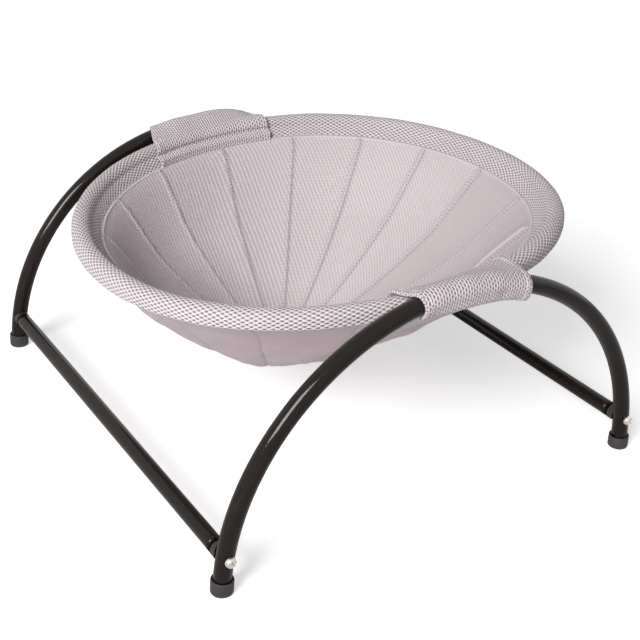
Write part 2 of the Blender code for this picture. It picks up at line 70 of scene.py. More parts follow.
def shown(name, data):
    """A new object in the scene."""
    made = bpy.data.objects.new(name, data)
    bpy.context.collection.objects.link(made)
    return made


def stand(holder, right, up, backward, spot):
    """Place an object by its three axes and its spot."""
    pose = np.eye(4)
    pose[:3, :3] = np.array([right, up, backward]).T
    pose[:3, 3] = spot
    holder.matrix_world = Matrix(pose.tolist())


photo_camera = bpy.data.cameras.new("photo_camera")
photo_camera.sensor_width = 36.0
photo_camera.lens = photo_camera.sensor_width * focal_pixels / picture_pixels
camera_object = shown("photo_camera", photo_camera)
stand(camera_object, to_right, to_top, -np.array(to_scene), eye)
bpy.context.scene.camera = camera_object
print("lens:", round(photo_camera.lens, 2), "mm")

# %% [markdown]
# ## Surfaces from grids
#
# Nearly every piece here is a sheet of points with rows and columns. One helper turns such a
# grid into a mesh: the rows or the columns may join up into a ring, and a cap closes an end
# with a fan. The flat position of each grid corner goes into a UV map in metres, so that a
# weave keeps its real size. A closed surface is turned to face outwards by the sign of its
# volume.

# %% Grid helpers
def grid_faces(rows, columns, loop=False, ring=False):
    """Corners of a grid's faces as (rows, columns), and the faces as point numbers."""
    i = np.arange(rows if loop else rows - 1)[:, None]
    j = np.arange(columns if ring else columns - 1)[None]
    corners = [(i, j), (i, j + 1), (i + 1, j + 1), (i + 1, j)]
    quads = np.stack([(a % rows) * columns + b % columns for a, b in corners], -1)
    return corners, quads.reshape(-1, 4)


def built(name, spots, faces, places, closed=True):
    """A smooth mesh with its flat places, turned to face outwards where it is closed."""
    mesh = bpy.data.meshes.new(name)
    mesh.from_pydata(spots.tolist(), [], faces)
    mesh.uv_layers.new(name="flat_cloth").data.foreach_set("uv", places.ravel())
    if closed:
        turn_outwards(mesh)
    mesh.shade_smooth()
    return mesh


def surface(name, points, flat, loop=False, ring=False, capped=False):
    """A mesh over a grid of points (rows, columns, 3).

    loop joins the last row to the first, ring joins the last column to the first, and capped
    closes both end rows with a fan. flat (rows, columns, 2), one more each way where the grid
    joins up, is the place of each corner on the flat cloth.
    """
    rows, columns = points.shape[:2]
    corners, quads = grid_faces(rows, columns, loop, ring)
    places = np.stack([flat[a, b] for a, b in corners], 2).reshape(-1, 2)
    spots, faces = points.reshape(-1, 3), quads.tolist()
    if capped:
        for row, first, second in ((0, 1, 0), (rows - 1, 0, 1)):
            k = np.arange(columns)
            here, there = ((k + step) % columns + row * columns for step in (first, second))
            faces += np.stack([here, there, np.full(columns, len(spots))], 1).tolist()
            spots = np.vstack([spots, points[row].mean(0)])
            centre = np.broadcast_to(flat[row, :columns].mean(0), (columns, 2))
            edge = [flat[row, k + first], flat[row, k + second], centre]
            places = np.vstack([places, np.stack(edge, 1).reshape(-1, 2)])
    return built(name, spots, faces, places, loop and ring or capped)


def turn_outwards(mesh):
    """Turn a closed mesh's faces so that its volume, summed over its triangles, is positive."""
    mesh.calc_loop_triangles()
    spots = np.empty(len(mesh.vertices) * 3)
    mesh.vertices.foreach_get("co", spots)
    trios = np.empty(len(mesh.loop_triangles) * 3, int)
    mesh.loop_triangles.foreach_get("vertices", trios)
    a, b, c = spots.reshape(-1, 3)[trios.reshape(-1, 3)].transpose(1, 0, 2)
    if (a * np.cross(b, c)).sum() < 0:
        mesh.flip_normals()


def put(mesh, material, body):
    """Show a mesh as a piece that moves with a body and is finished like a slot."""
    mesh.materials.append(material)
    piece = shown(mesh.name, mesh)
    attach(piece, body)
    return piece


def unit(vectors):
    """Vectors scaled to length one."""
    return vectors / np.linalg.norm(vectors, axis=-1, keepdims=True)


def smooth_step(values, low, high):
    """0 below low, 1 above high, and an S curve 3t^2 - 2t^3 between them."""
    t = np.clip((values - low) / (high - low), 0, 1)
    return t * t * (3 - 2 * t)


def whole_turn(count):
    """Angles at equal steps round a circle."""
    return np.linspace(0, 2 * np.pi, count, endpoint=False)


def hump(values, middle, width):
    """A bell of height one: exp(-((value - middle) / width)^2)."""
    return np.exp(-(((values - middle) / width) ** 2))


def walked(path):
    """Distance walked along a path to each of its points."""
    steps = np.linalg.norm(np.diff(path, axis=-2), axis=-1)
    start = np.zeros((*steps.shape[:-1], 1))
    return np.concatenate([start, np.cumsum(steps, -1)], -1)


def evenly(path, count):
    """The same path with a new number of points at equal distances."""
    far = walked(path)
    places = np.linspace(0, far[-1], count)
    return np.stack([np.interp(places, far, path[:, k]) for k in range(path.shape[1])], 1)


print("helpers ready")

# %% [markdown]
# ## Nodes for the materials
#
# Materials are built from nodes. A short helper adds one node and fills its inputs, and each
# shared effect is a node group that gives out only colours and numbers, so the shader stays
# in the material. The air mesh is the main one: two interleaved grids of oval holes, read
# from the flat position of the cloth. A hole is low and painted dark, a painted shade for the
# space seen through it; the knitted yarn between the holes is rounded, light on top and
# painted shade toward the holes.

# %% Node helpers
def node(tree, kind, *inputs, out=0, **settings):
    """Add a node, set its options, fill its inputs with numbers or links, give one output."""
    made = tree.nodes.new(kind)
    for key, value in settings.items():
        setattr(made, key, value)
    for socket, value in zip(made.inputs, inputs):
        if isinstance(value, bpy.types.NodeSocket):
            tree.links.new(value, socket)
        elif value is not None:
            socket.default_value = value
    return made.outputs[out]


def maths(tree, operation, *inputs):
    """One step of arithmetic."""
    return node(tree, "ShaderNodeMath", *inputs, operation=operation)


def tint(tree, share, first, second):
    """Mix two colours, each a link or (red, green, blue), by a share from 0 to 1."""
    made = tree.nodes.new("ShaderNodeMix")
    made.data_type = "RGBA"
    for place, value in ((0, share), (6, first), (7, second)):
        if isinstance(value, bpy.types.NodeSocket):
            tree.links.new(value, made.inputs[place])
        else:
            made.inputs[place].default_value = (*value, 1) if place else value
    return made.outputs[2]


def ramp(tree, value, low, high, start=0.0, end=1.0):
    """Carry a value from the range low..high to start..end, and hold it there."""
    return node(tree, "ShaderNodeMapRange", value, low, high, start, end)


def group(name, inputs, outputs):
    """An empty node group with named inputs (name, kind, default) and outputs (name, kind)."""
    tree = bpy.data.node_groups.new(name, "ShaderNodeTree")
    for label, kind, default in inputs:
        socket = tree.interface.new_socket(label, in_out="INPUT", socket_type=kind)
        if default is not None:
            socket.default_value = default
    for label, kind in outputs:
        tree.interface.new_socket(label, in_out="OUTPUT", socket_type=kind)
    return tree, tree.nodes.new("NodeGroupInput").outputs, tree.nodes.new("NodeGroupOutput").inputs


def use(tree, made, **values):
    """Place a group in a tree; the values go to its inputs by name, with _ for a space."""
    placed = tree.nodes.new("ShaderNodeGroup")
    placed.node_tree = made
    for key, value in values.items():
        socket = placed.inputs[key.replace("_", " ")]
        if isinstance(value, bpy.types.NodeSocket):
            tree.links.new(value, socket)
        else:
            socket.default_value = value
    return placed.outputs


VECTOR, NUMBER = "NodeSocketVector", "NodeSocketFloat"
print("node helpers ready")

# %% Group: knitted mesh with oval holes
mesh_group, given, gives = group(
    "open_mesh",
    [("Place", VECTOR, None), ("Along pitch", NUMBER, 0.007), ("Across pitch", NUMBER, 0.00375),
     ("Hole length", NUMBER, 0.0026), ("Hole width", NUMBER, 0.0013)],
    [("Holes", NUMBER), ("Height", NUMBER), ("Yarn", NUMBER)],
)
apart = node(mesh_group, "ShaderNodeSeparateXYZ", given["Place"])
place_x, place_y = apart, apart.node.outputs[1]


def distance_to_hole(offset):
    """Distance to the nearest hole of one grid, counted in half holes."""
    parts = []
    for place, pitch, size in (
        (place_x, given["Along pitch"], given["Hole length"]),
        (place_y, given["Across pitch"], given["Hole width"]),
    ):
        cell = maths(mesh_group, "ADD", maths(mesh_group, "DIVIDE", place, pitch), offset)
        inside = maths(mesh_group, "SUBTRACT", maths(mesh_group, "FRACT", cell), 0.5)
        real = maths(mesh_group, "MULTIPLY", inside, pitch)
        halves = maths(mesh_group, "DIVIDE", real, maths(mesh_group, "MULTIPLY", size, 0.5))
        parts.append(maths(mesh_group, "POWER", maths(mesh_group, "ABSOLUTE", halves), 2.0))
    return maths(mesh_group, "SQRT", maths(mesh_group, "ADD", *parts))


nearest = maths(mesh_group, "MINIMUM", distance_to_hole(0.0), distance_to_hole(0.5))
# Holes: share of a painted shade for the dim space seen through each hole.
hole_mask = ramp(mesh_group, nearest, 1.15, 0.7)
yarn_round = ramp(mesh_group, nearest, 0.85, 2.0)
ply = node(
    mesh_group, "ShaderNodeTexWave", given["Place"], 900.0, 1.5, bands_direction="DIAGONAL"
)
mesh_group.links.new(hole_mask, gives["Holes"])
mesh_group.links.new(
    maths(mesh_group, "ADD", yarn_round, maths(mesh_group, "MULTIPLY", ply, 0.12)), gives["Height"]
)
# Yarn: share of the yarn's own light colour on its rounded top; toward the holes it falls to a
# painted shade.
mesh_group.links.new(maths(mesh_group, "MULTIPLY", yarn_round, 0.7), gives["Yarn"])
print("group:", mesh_group.name)

# %% Group: fine plain weave, and slow uneven tone
weave_group, given, gives = group(
    "plain_weave", [("Place", VECTOR, None), ("Thread", NUMBER, 0.0006)], [("Height", NUMBER)]
)
threads = []
for axis in range(2):
    apart = node(weave_group, "ShaderNodeSeparateXYZ", given["Place"], out=axis)
    turns = maths(weave_group, "DIVIDE", apart, given["Thread"])
    threads.append(maths(weave_group, "SINE", maths(weave_group, "MULTIPLY", turns, math.pi)))
over_under = maths(weave_group, "MULTIPLY", *threads)
weave_group.links.new(maths(weave_group, "MULTIPLY_ADD", over_under, 0.5, 0.5), gives["Height"])

tone_group, given, gives = group(
    "uneven_tone", [("Place", VECTOR, None), ("Patches", NUMBER, 12.0)],
    [("Tone", NUMBER), ("Grain", NUMBER)],
)
patches = node(tone_group, "ShaderNodeTexNoise", given["Place"], None, given["Patches"], 4.0, 0.55)
grain_size = maths(tone_group, "MULTIPLY", given["Patches"], 60.0)
grain = node(tone_group, "ShaderNodeTexNoise", given["Place"], None, grain_size, 3.0, 0.6)
tone_group.links.new(ramp(tone_group, patches, 0.3, 0.7), gives["Tone"])
tone_group.links.new(grain, gives["Grain"])
print("groups:", weave_group.name, tone_group.name)

# %% [markdown]
# ## Finishes
#
# Each finish starts from the Principled shader. A value that is the same all over is set on
# the shader itself; colour, roughness and bump carry the detail. Painted tube gets the faint
# orange peel and dust of powder coat, rubber a moulded grain with a scuffed foot, the other
# metal and the plastic a fine uneven grain, and each cloth its own knit or weave at its real
# size.

# %% Material helpers
def finish(name, roughness, **constants):
    """A new material: its tree, its shader and its object coordinates."""
    made = bpy.data.materials.new(name)
    made.use_nodes = True
    tree = made.node_tree
    shader = tree.nodes["Principled BSDF"]
    shader.inputs["Roughness"].default_value = roughness
    for key, value in constants.items():
        shader.inputs[key.replace("_", " ")].default_value = value
    place = node(tree, "ShaderNodeTexCoord", out=3)
    return made, tree, shader.inputs, place


def dress(tree, shader, colour, rough, height, depth):
    """Link colour and roughness, and bend the normal by a height.

    The height runs from 0 to 1 and stands for a depth in metres.
    """
    bump = tree.nodes.new("ShaderNodeBump")
    bump.inputs["Strength"].default_value = 1.0
    bump.inputs["Distance"].default_value = depth
    tree.links.new(height, bump.inputs["Height"])
    for value, socket in (
        (colour, "Base Color"), (rough, "Roughness"), (bump.outputs[0], "Normal")
    ):
        tree.links.new(value, shader[socket])


def seam_shade(tree, colour, dark):
    """Paint shade into a colour: mix it toward a dark colour where the mesh's own point values mark
    a seam's groove or the crevice beside a fold.
    """
    pulled = node(tree, "ShaderNodeAttribute", out=2, attribute_name="seam_shade")
    return tint(tree, maths(tree, "MULTIPLY", pulled, 0.8), colour, dark)


def mesh_cloth(name, yarn, shaded, hole, pitch, size, depth=0.0009, seam=None):
    """Knitted air mesh: yarn colour, a painted shade on the yarn's sides and a painted shade seen
    through the holes, and the holes' pitch and size along and across.
    """
    made, tree, shader, place = finish(name, 0.85, Sheen_Weight=0.12, Sheen_Roughness=0.5)
    flat = node(tree, "ShaderNodeUVMap", uv_map="flat_cloth")
    knit = use(tree, mesh_group, Place=flat, Along_pitch=pitch[0], Across_pitch=pitch[1],
               Hole_length=size[0], Hole_width=size[1])
    tone = use(tree, tone_group, Place=place, Patches=14.0)
    # The yarn is light on its rounded top and turns to a painted shade toward the holes.
    thread = tint(tree, maths(tree, "MULTIPLY", knit["Yarn"], 1.3), shaded, yarn)
    worn = tint(tree, maths(tree, "MULTIPLY", tone["Tone"], 0.16), thread, shaded)
    # The holes get a painted shade for the dim space seen through them.
    base = tint(tree, knit["Holes"], worn, hole)
    rough = ramp(tree, tone["Grain"], 0.3, 0.7, 0.78, 0.92)
    fuzz = maths(tree, "MULTIPLY_ADD", tone["Grain"], 0.10, knit["Height"])
    # Where seam is given, it is the dark colour of a painted shade in the seams' grooves.
    dress(tree, shader, seam_shade(tree, base, seam) if seam else base, rough, fuzz, depth)
    return made


def woven_cloth(name, light, dark, thread, depth, patches=10.0, seam=None):
    """Plain woven cloth: two tones in slow patches, and a weave as fine as its thread."""
    made, tree, shader, place = finish(name, 0.8, Sheen_Weight=0.1, Sheen_Roughness=0.5)
    flat = node(tree, "ShaderNodeUVMap", uv_map="flat_cloth")
    weave = use(tree, weave_group, Place=flat, Thread=thread)["Height"]
    tone = use(tree, tone_group, Place=place, Patches=patches)
    base = tint(tree, tone["Tone"], light, dark)
    # The weave's low points get a faint painted shade; the mix toward the dark tone is the cloth's
    # own colour.
    dark_with_weave_shade = tint(tree, maths(tree, "MULTIPLY", weave, 0.15), dark, base)
    plain = tint(tree, 0.7, dark_with_weave_shade, base)
    rough = ramp(tree, tone["Grain"], 0.3, 0.7, 0.72, 0.88)
    fuzz = maths(tree, "MULTIPLY_ADD", tone["Grain"], 0.5, weave)
    # Where seam is given, it is the dark colour of a painted shade in the seams' grooves.
    dress(tree, shader, seam_shade(tree, plain, seam) if seam else plain, rough, fuzz, depth)
    return made


print("material helpers ready")

# %% Hard finishes
def painted(name):
    """Glossy black powder coat: near black, faintly warm, with orange peel and dust."""
    made, tree, shader, place = finish(
        name, 0.12, Specular_IOR_Level=0.14, Coat_Weight=0.16, Coat_Roughness=0.03)
    tone = use(tree, tone_group, Place=place, Patches=16.0)
    dust = maths(tree, "MULTIPLY", tone["Tone"], 0.35)
    colour = tint(tree, dust, (0.0085, 0.0052, 0.0034), (0.017, 0.0115, 0.008))
    peel = node(tree, "ShaderNodeTexNoise", place, None, 420.0, 2.0, 0.5)
    dress(tree, shader, colour, ramp(tree, tone["Tone"], 0.0, 1.0, 0.08, 0.17), peel, 0.00008)
    return made


def grained(name, roughness, patches, tones, rough, depth, scuffed=None, **constants):
    """A hard finish in two tones with a fine grain; scuffed is the colour of a worn foot."""
    made, tree, shader, place = finish(name, roughness, **constants)
    tone = use(tree, tone_group, Place=place, Patches=patches)
    colour = tint(tree, tone["Tone"], *tones)
    if scuffed:
        height = node(tree, "ShaderNodeSeparateXYZ", place, out=2)
        worn = maths(tree, "MULTIPLY", ramp(tree, height, 0.0035, 0.0, 0.0, 0.8), tone["Tone"])
        colour = tint(tree, worn, colour, scuffed)
    dress(tree, shader, colour, ramp(tree, tone["Grain"], 0.3, 0.7, *rough), tone["Grain"], depth)
    return made


black_paint = painted("black_paint")
rubber = grained("grey_rubber", 0.7, 60.0, ((0.026, 0.024, 0.026), (0.042, 0.039, 0.041)),
                 (0.55, 0.8), 0.00012, scuffed=(0.13, 0.125, 0.12))
nickel = grained("nickel", 0.2, 220.0, ((0.80, 0.76, 0.70), (0.62, 0.59, 0.55)),
                 (0.14, 0.34), 0.00002, Metallic=1.0)
plastic = grained("grey_plastic", 0.5, 120.0, ((0.012, 0.011, 0.010), (0.022, 0.020, 0.019)),
                  (0.4, 0.6), 0.00006)
steel = grained("turned_steel", 0.35, 150.0, ((0.56, 0.55, 0.53), (0.42, 0.41, 0.40)),
                (0.28, 0.45), 0.00003, Metallic=1.0)
print("hard finishes: paint, rubber, nickel, plastic, steel")

# %% Cloth finishes
# In each knit the second colour is a painted shade on the yarn's sides and the third a painted
# shade seen through the holes.
band_pitch = (0.00695, 0.00375)
band_cloth = mesh_cloth(
    "band_air_mesh", (0.84, 0.765, 0.79), (0.54, 0.46, 0.48), (0.17, 0.135, 0.145),
    band_pitch, (0.0027, 0.00125),
)
wrap_cloth = mesh_cloth(
    "wrap_air_mesh", (0.84, 0.76, 0.79), (0.54, 0.45, 0.48), (0.27, 0.22, 0.235),
    (0.0056, 0.0033), (0.0012, 0.0019),
)
# The liner's seam colour is a painted shade in its stitch grooves and in the crevice beside the
# fold.
liner_cloth = mesh_cloth(
    "liner_fine_mesh", (0.73, 0.64, 0.66), (0.62, 0.535, 0.555), (0.46, 0.39, 0.41),
    (0.0046, 0.0034), (0.0024, 0.0007), 0.0005, seam=(0.30, 0.24, 0.25),
)
# The shell's seam colour is a painted shade in the groove of each seam.
shell_cloth = woven_cloth(
    "shell_smooth_cloth", (0.60, 0.49, 0.52), (0.51, 0.415, 0.44), 0.0005, 0.00006,
    seam=(0.43, 0.345, 0.365),
)
binding_cloth = woven_cloth(
    "binding_tape", (0.70, 0.64, 0.68), (0.58, 0.52, 0.56), 0.0011, 0.00025
)
thread_cloth = woven_cloth(
    "sewing_thread", (0.80, 0.75, 0.78), (0.66, 0.60, 0.64), 0.0004, 0.00012
)
hook_cloth = mesh_cloth(
    "hook_tape", (0.52, 0.47, 0.50), (0.34, 0.30, 0.33), (0.20, 0.18, 0.19),
    (0.0022, 0.0018), (0.0008, 0.0008), 0.0006,
)
loop_cloth = woven_cloth(
    "loop_tape", (0.56, 0.51, 0.54), (0.44, 0.39, 0.42), 0.0009, 0.0005, 90.0
)
print("cloth finishes: band, wrap, liner, shell, binding, thread, hook and loop tape")

# %% [markdown]
# ## The frame's tubes
#
# Each arch is one steel tube bent to a half circle. A ring of points is carried along the
# bend; the bore is a second run of rings inside, joined to the first at both ends, so the
# wall is closed. Fine rings make the reflections run smoothly.

# %% Sizes of the frame
arch_rows = (("front", -1), ("rear", 1))
leg_corners = (("left", -1), ("right", 1))
play = 0.0003
arch_radius, arch_y = 0.225, 0.2365
tube_radius, tube_wall = 0.008, 0.0012
rail_radius, rail_height = 0.0075, 0.035
leg_x = math.sqrt(arch_radius**2 - rail_height**2)
saddle_start, saddle_end = 0.005, 0.0123
rail_half = arch_y - saddle_end - play
cap_height, cap_floor, cap_bore = 0.0135, 0.003, 0.0083
cap_radius = cap_bore + 0.0016


def bent_ring(angle, radius, count):
    """Rings round the bent tube at angles above the floor: the middle circle plus a radius."""
    turns = whole_turn(count)
    angle, radius = np.broadcast_arrays(np.asarray(angle, float), radius)
    far = arch_radius + radius[:, None] * np.sin(turns)
    across = radius[:, None] * np.cos(turns)
    return np.stack(
        [far * np.cos(angle)[:, None], across, far * np.sin(angle)[:, None]], -1
    )


def around(rows, columns, length, width):
    """Flat places of a grid that is length long by its rows and width round by its columns."""
    return np.stack(
        np.meshgrid(np.linspace(0, length, rows), np.linspace(0, width, columns), indexing="ij"), -1
    )


# %% Arches and rails
def arch_tube(row, side):
    """The tube of one arch, with its bore."""
    end = (cap_floor + play) / arch_radius
    angles = np.linspace(end, math.pi - end, 160)
    outside = bent_ring(angles, tube_radius, 64)
    bore = bent_ring(angles[::-1][::8], tube_radius - tube_wall, 64)
    points = np.vstack([outside, bore]) + (0, side * arch_y, 0)
    flat = around(len(points) + 1, 65, math.pi * arch_radius, 2 * math.pi * tube_radius)
    piece = put(surface(f"{row}_arch_tube", points, flat, loop=True, ring=True),
                black_paint, "frame")
    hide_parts(f"{row}_arch")
    return piece


def rail_tube(side, x):
    """One straight rail with its bore: rings carried along Y."""
    along = np.linspace(-rail_half, rail_half, 60)
    turns = whole_turn(56)
    y = np.concatenate([along, along[::-1][::10]])
    radius = np.concatenate([np.full(60, rail_radius), np.full(6, rail_radius - tube_wall)])
    points = np.stack(np.broadcast_arrays(
        x * leg_x + radius[:, None] * np.cos(turns), y[:, None],
        rail_height + radius[:, None] * np.sin(turns)), -1)
    flat = around(len(points) + 1, 57, 2 * rail_half, 2 * math.pi * rail_radius)
    piece = put(surface(f"{side}_rail_tube", points, flat, loop=True, ring=True),
                black_paint, "frame")
    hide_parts(f"{side}_stretcher")
    return piece


for row, side in arch_rows:
    print("made", arch_tube(row, side).name)
for side, x in leg_corners:
    print("made", rail_tube(side, x).name)

# %% [markdown]
# ## Feet, saddles and screws
#
# The rubber caps follow the bend of the leg, so their rings are set along the same arc as the
# tube. A saddle is a short sleeve whose end is hollowed to the leg. The screw's head is one
# grid of rings and spokes: the height falls away like a dome, and a cross is pressed into it.

# %% Foot caps
def foot_cap(row, side, corner, x):
    """A rubber cap: a rounded foot, a straight wall, a rounded lip and the socket inside."""
    bend = np.linspace(0, np.pi / 2, 9)
    round_foot, lip = 0.0022, 0.0007
    up = np.concatenate([
        [0.0], round_foot * (1 - np.cos(bend)), [0.005, 0.009],
        cap_height - lip * (1 - np.sin(bend)),
        cap_height - lip * (1 - np.cos(bend)), [0.008, cap_floor]])
    out = np.concatenate([
        [0.0025], cap_radius - round_foot * (1 - np.sin(bend)), [cap_radius, cap_radius],
        cap_radius - lip * (1 - np.cos(bend)),
        cap_bore + lip * (1 - np.sin(bend)), [cap_bore, cap_bore]])
    rings = bent_ring(up / arch_radius, out, 56)
    rings[:, :, 0] *= x
    points = rings + (0, side * arch_y, 0)
    flat = around(len(points), 57, 0.04, 2 * math.pi * cap_radius)
    piece = put(surface(f"foot_{row}_{corner}", points, flat, ring=True, capped=True),
                rubber, "frame")
    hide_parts(f"foot_cap_{row}_{corner}")
    return piece


def saddle(row, side, corner, x):
    """A sleeve between rail and leg: its leg end lies on a cylinder round the leg.

    The end at each turn is sqrt(R^2 - c^2) from the leg's middle, where c is how far the
    point lies to the side of the leg and R the leg's radius with a hair of play.
    """
    turns = whole_turn(48)
    lean = math.asin(rail_height / arch_radius)
    outside, bore = rail_radius + 0.0002, 0.0028
    runs = []
    for radius, near in ((outside, True), (outside, False), (bore, False), (bore, True)):
        a, b = radius * np.cos(turns), radius * np.sin(turns)
        aside = a * math.cos(lean) - b * math.sin(lean)
        seat = np.sqrt(np.maximum((tube_radius + play) ** 2 - aside**2, saddle_start**2))
        far = seat if near else np.full_like(seat, saddle_end)
        runs.append(np.stack([x * (leg_x + a), side * (arch_y - far), rail_height + b], 1))
    points = np.array([
        runs[0], runs[0] * 0.5 + runs[1] * 0.5, runs[1], runs[2], runs[3]])
    flat = around(6, 49, 0.02, 2 * math.pi * outside)
    piece = put(surface(f"sleeve_{row}_{corner}", points, flat, loop=True, ring=True),
                plastic, "frame")
    piece.data.set_sharp_from_angle(angle=math.radians(35))
    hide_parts(f"saddle_{row}_{corner}")
    return piece


# %% Screws
head_radius, head_height, shank_radius = 0.005, 0.0040, 0.0025
trench_edge, trench_tip, trench_depth = (0.00075, 0.00042), (0.0030, 0.0024), 0.0010


def screw(row, side, corner, x):
    """A pan-head screw with a cross recess.

    Head height over the radius r: h * (1 - (r / R)^6)^(1/2), less the recess, which at each
    point is the deeper of two soft trenches at right angles and deepens toward the middle.
    """
    turns = whole_turn(96)
    share = np.concatenate([[0.02], np.linspace(0.05, 0.94, 34), 1 - np.geomspace(0.05, 0.001, 8)])
    r = head_radius * share[:, None]
    dome = head_height * np.sqrt(np.clip(1 - share[:, None] ** 6, 0, 1))
    a, b = r * np.cos(turns + 0.5), r * np.sin(turns + 0.5)
    trench = np.maximum(*(
        smooth_step(np.abs(aside), *trench_edge) * smooth_step(np.abs(far), *trench_tip)
        for aside, far in ((b, a), (a, b))))
    bowl = smooth_step(r, 0.0021, 0.0)
    height = dome - trench * (trench_depth + 0.0008 * bowl)
    shank_r = np.array([head_radius * 0.985, shank_radius, shank_radius, shank_radius - 0.0006])
    shank_h = np.array([0.0, 0.0, -0.0294, -0.030])
    a = np.vstack([a, shank_r[:, None] * np.cos(turns + 0.5)])
    b = np.vstack([b, shank_r[:, None] * np.sin(turns + 0.5)])
    height = np.vstack([height, np.broadcast_to(shank_h[:, None], (4, 96))])
    head_y = arch_y + tube_radius + play
    points = np.stack([x * leg_x + a, side * (head_y + height), rail_height + b], -1)
    flat = around(len(points), 97, 0.04, 2 * math.pi * head_radius)
    mesh = surface(f"screw_{row}_{corner}", points, flat, ring=True, capped=True)
    mesh.set_sharp_from_angle(angle=math.radians(50))
    piece = put(mesh, nickel, "frame")
    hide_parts(f"frame_screw_{row}_{corner}")
    return piece


for row, side in arch_rows:
    for corner, x in leg_corners:
        made = [build(row, side, corner, x) for build in (foot_cap, saddle, screw)]
        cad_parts[f"end_plug_{row}_{corner}"].material_slots[0].material = steel
        print("made", [piece.name for piece in made])
for quarter in ("rear", "left", "front", "right"):
    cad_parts[f"hoop_tube_{quarter}"].material_slots[0].material = black_paint

# %% [markdown]
# ## The bed's shape
#
# Everything sewn to the hoop follows one oval. A place on the bed is given by its turn round
# the oval, how far it lies outward from the hoop's middle and how far above it. The bed hangs
# from its two wraps and rests a little right side up, so all of it is worked out level first
# and then hung: turned 2.5 degrees about the line through the wraps.

# %% Places on the bed
half_length, half_width, squareness, hoop_z = 0.2267474, 0.2210014, 2.1, -0.0173
hoop_lean, hoop_bow = 0.0085, 0.0074
pivot_x, pivot_z, rest_tilt = 0.0048, 0.2333, math.radians(2.5)


def bow_at(x):
    """Rise of the loaded hoop: lean * s - bow * s^2, where s is x over half its length."""
    share = x / half_length
    return hoop_lean * share - hoop_bow * share**2


def bed(theta, u, w, shrink=1.0):
    """Level place at a turn theta, u outward and w upward of the hoop's middle.

    x = (half length + u) * |cos|^(2/n), y = (half width + u) * |sin|^(2/n), each with the
    sign of its cosine or sine: an oval drawn a little square by the pull of the wraps. It
    leans a little and both its free sides bow down. shrink draws a place toward the middle.
    """
    c, s = np.cos(theta), np.sin(theta)
    x = (half_length + u) * np.sign(c) * np.abs(c) ** (2 / squareness) * shrink
    y = (half_width + u) * np.sign(s) * np.abs(s) ** (2 / squareness) * shrink
    return np.stack(np.broadcast_arrays(x, y, hoop_z + w + bow_at(x)), -1)


def oval_reach(x, u):
    """Share of the oval's half width left at x: (1 - |x / (half length + u)|^n)^(1/n)."""
    return (1 - (np.abs(x) / (half_length + u)) ** squareness) ** (1 / squareness)


def hang(points):
    """Level places turned by the rest tilt about the rocking axis and moved to it."""
    x, y, z = np.moveaxis(points, -1, 0)
    c, s = math.cos(rest_tilt), math.sin(rest_tilt)
    return np.stack([x * c - z * s + pivot_x, y, x * s + z * c + pivot_z], -1)


fine_turns = np.linspace(0, 2 * np.pi, 8193)
rim_length = walked(bed(fine_turns, 0, 0))
rim_total = rim_length[-1]


def along_rim(theta):
    """Distance round the hoop's middle line at a turn."""
    return np.interp(theta, fine_turns, rim_length)


def turns_round(count):
    """Turns at equal distances round the hoop; the last meets the first."""
    return np.interp(np.linspace(0, rim_total, count + 1), rim_length, fine_turns)


print("round the hoop:", round(rim_total, 4), "m")

# %% [markdown]
# ## The band
#
# A strip of knitted air mesh is folded over the hoop. Seen in section it is an upturned U:
# down to the outer seam outside, over the tube, and further down inside to the inner seam,
# where wraps and liner are sewn on. One closed section is carried round the oval, and small
# waves keep it from looking machined. The knit's pitch is fitted so that a whole number of
# holes goes round.

# %% Section of the band
band_radius, band_thickness, band_bore = 0.0092222, 0.0027, 0.0065222
outer_seam, inner_seam, seam_inset = -0.0062, -0.0116, 0.0095
seam_foot = np.array([-band_radius - seam_inset, inner_seam])
leg_foot = seam_foot + (band_thickness, 0)
down_leg = unit(leg_foot - (-band_bore, 0))
off_leg = np.array([down_leg[1], -down_leg[0]])
hidden_knee = (leg_foot + (-band_bore, 0)) / 2
seen_knee = hidden_knee + off_leg * band_thickness


def band_section():
    """Outline (u, w) of the folded strip: the seen face outwards, the hidden face back."""
    bend = np.linspace(0, np.pi, 40)[:, None]
    over = np.hstack([np.cos(bend), np.sin(bend)])
    seen = np.vstack([
        [[band_bore + 0.0002, outer_seam - 0.0002], [band_radius - 0.0008, outer_seam - 0.0006],
         [band_radius, outer_seam + 0.0006]],
        band_radius * over,
        [seen_knee, seam_foot + (-0.0002, 0.0008), seam_foot + (0.0010, -0.0004)]])
    hidden = np.vstack([[leg_foot], [hidden_knee], band_bore * over[::-1],
                        [[band_bore, outer_seam]]])
    return evenly(seen, 44), evenly(hidden, 18)


def ripple(theta, seed, reach):
    """A slow uneven wave round the oval: five sines whose turns and phases come from a seed."""
    chance = np.random.default_rng(seed)
    counts = chance.integers(5, 34, 5)
    phases = chance.uniform(0, 2 * np.pi, 5)
    sizes = chance.uniform(0.4, 1.0, 5)
    waves = [a * np.sin(n * theta + b) for n, a, b in zip(counts, sizes, phases)]
    return reach * sum(waves) / 2.5


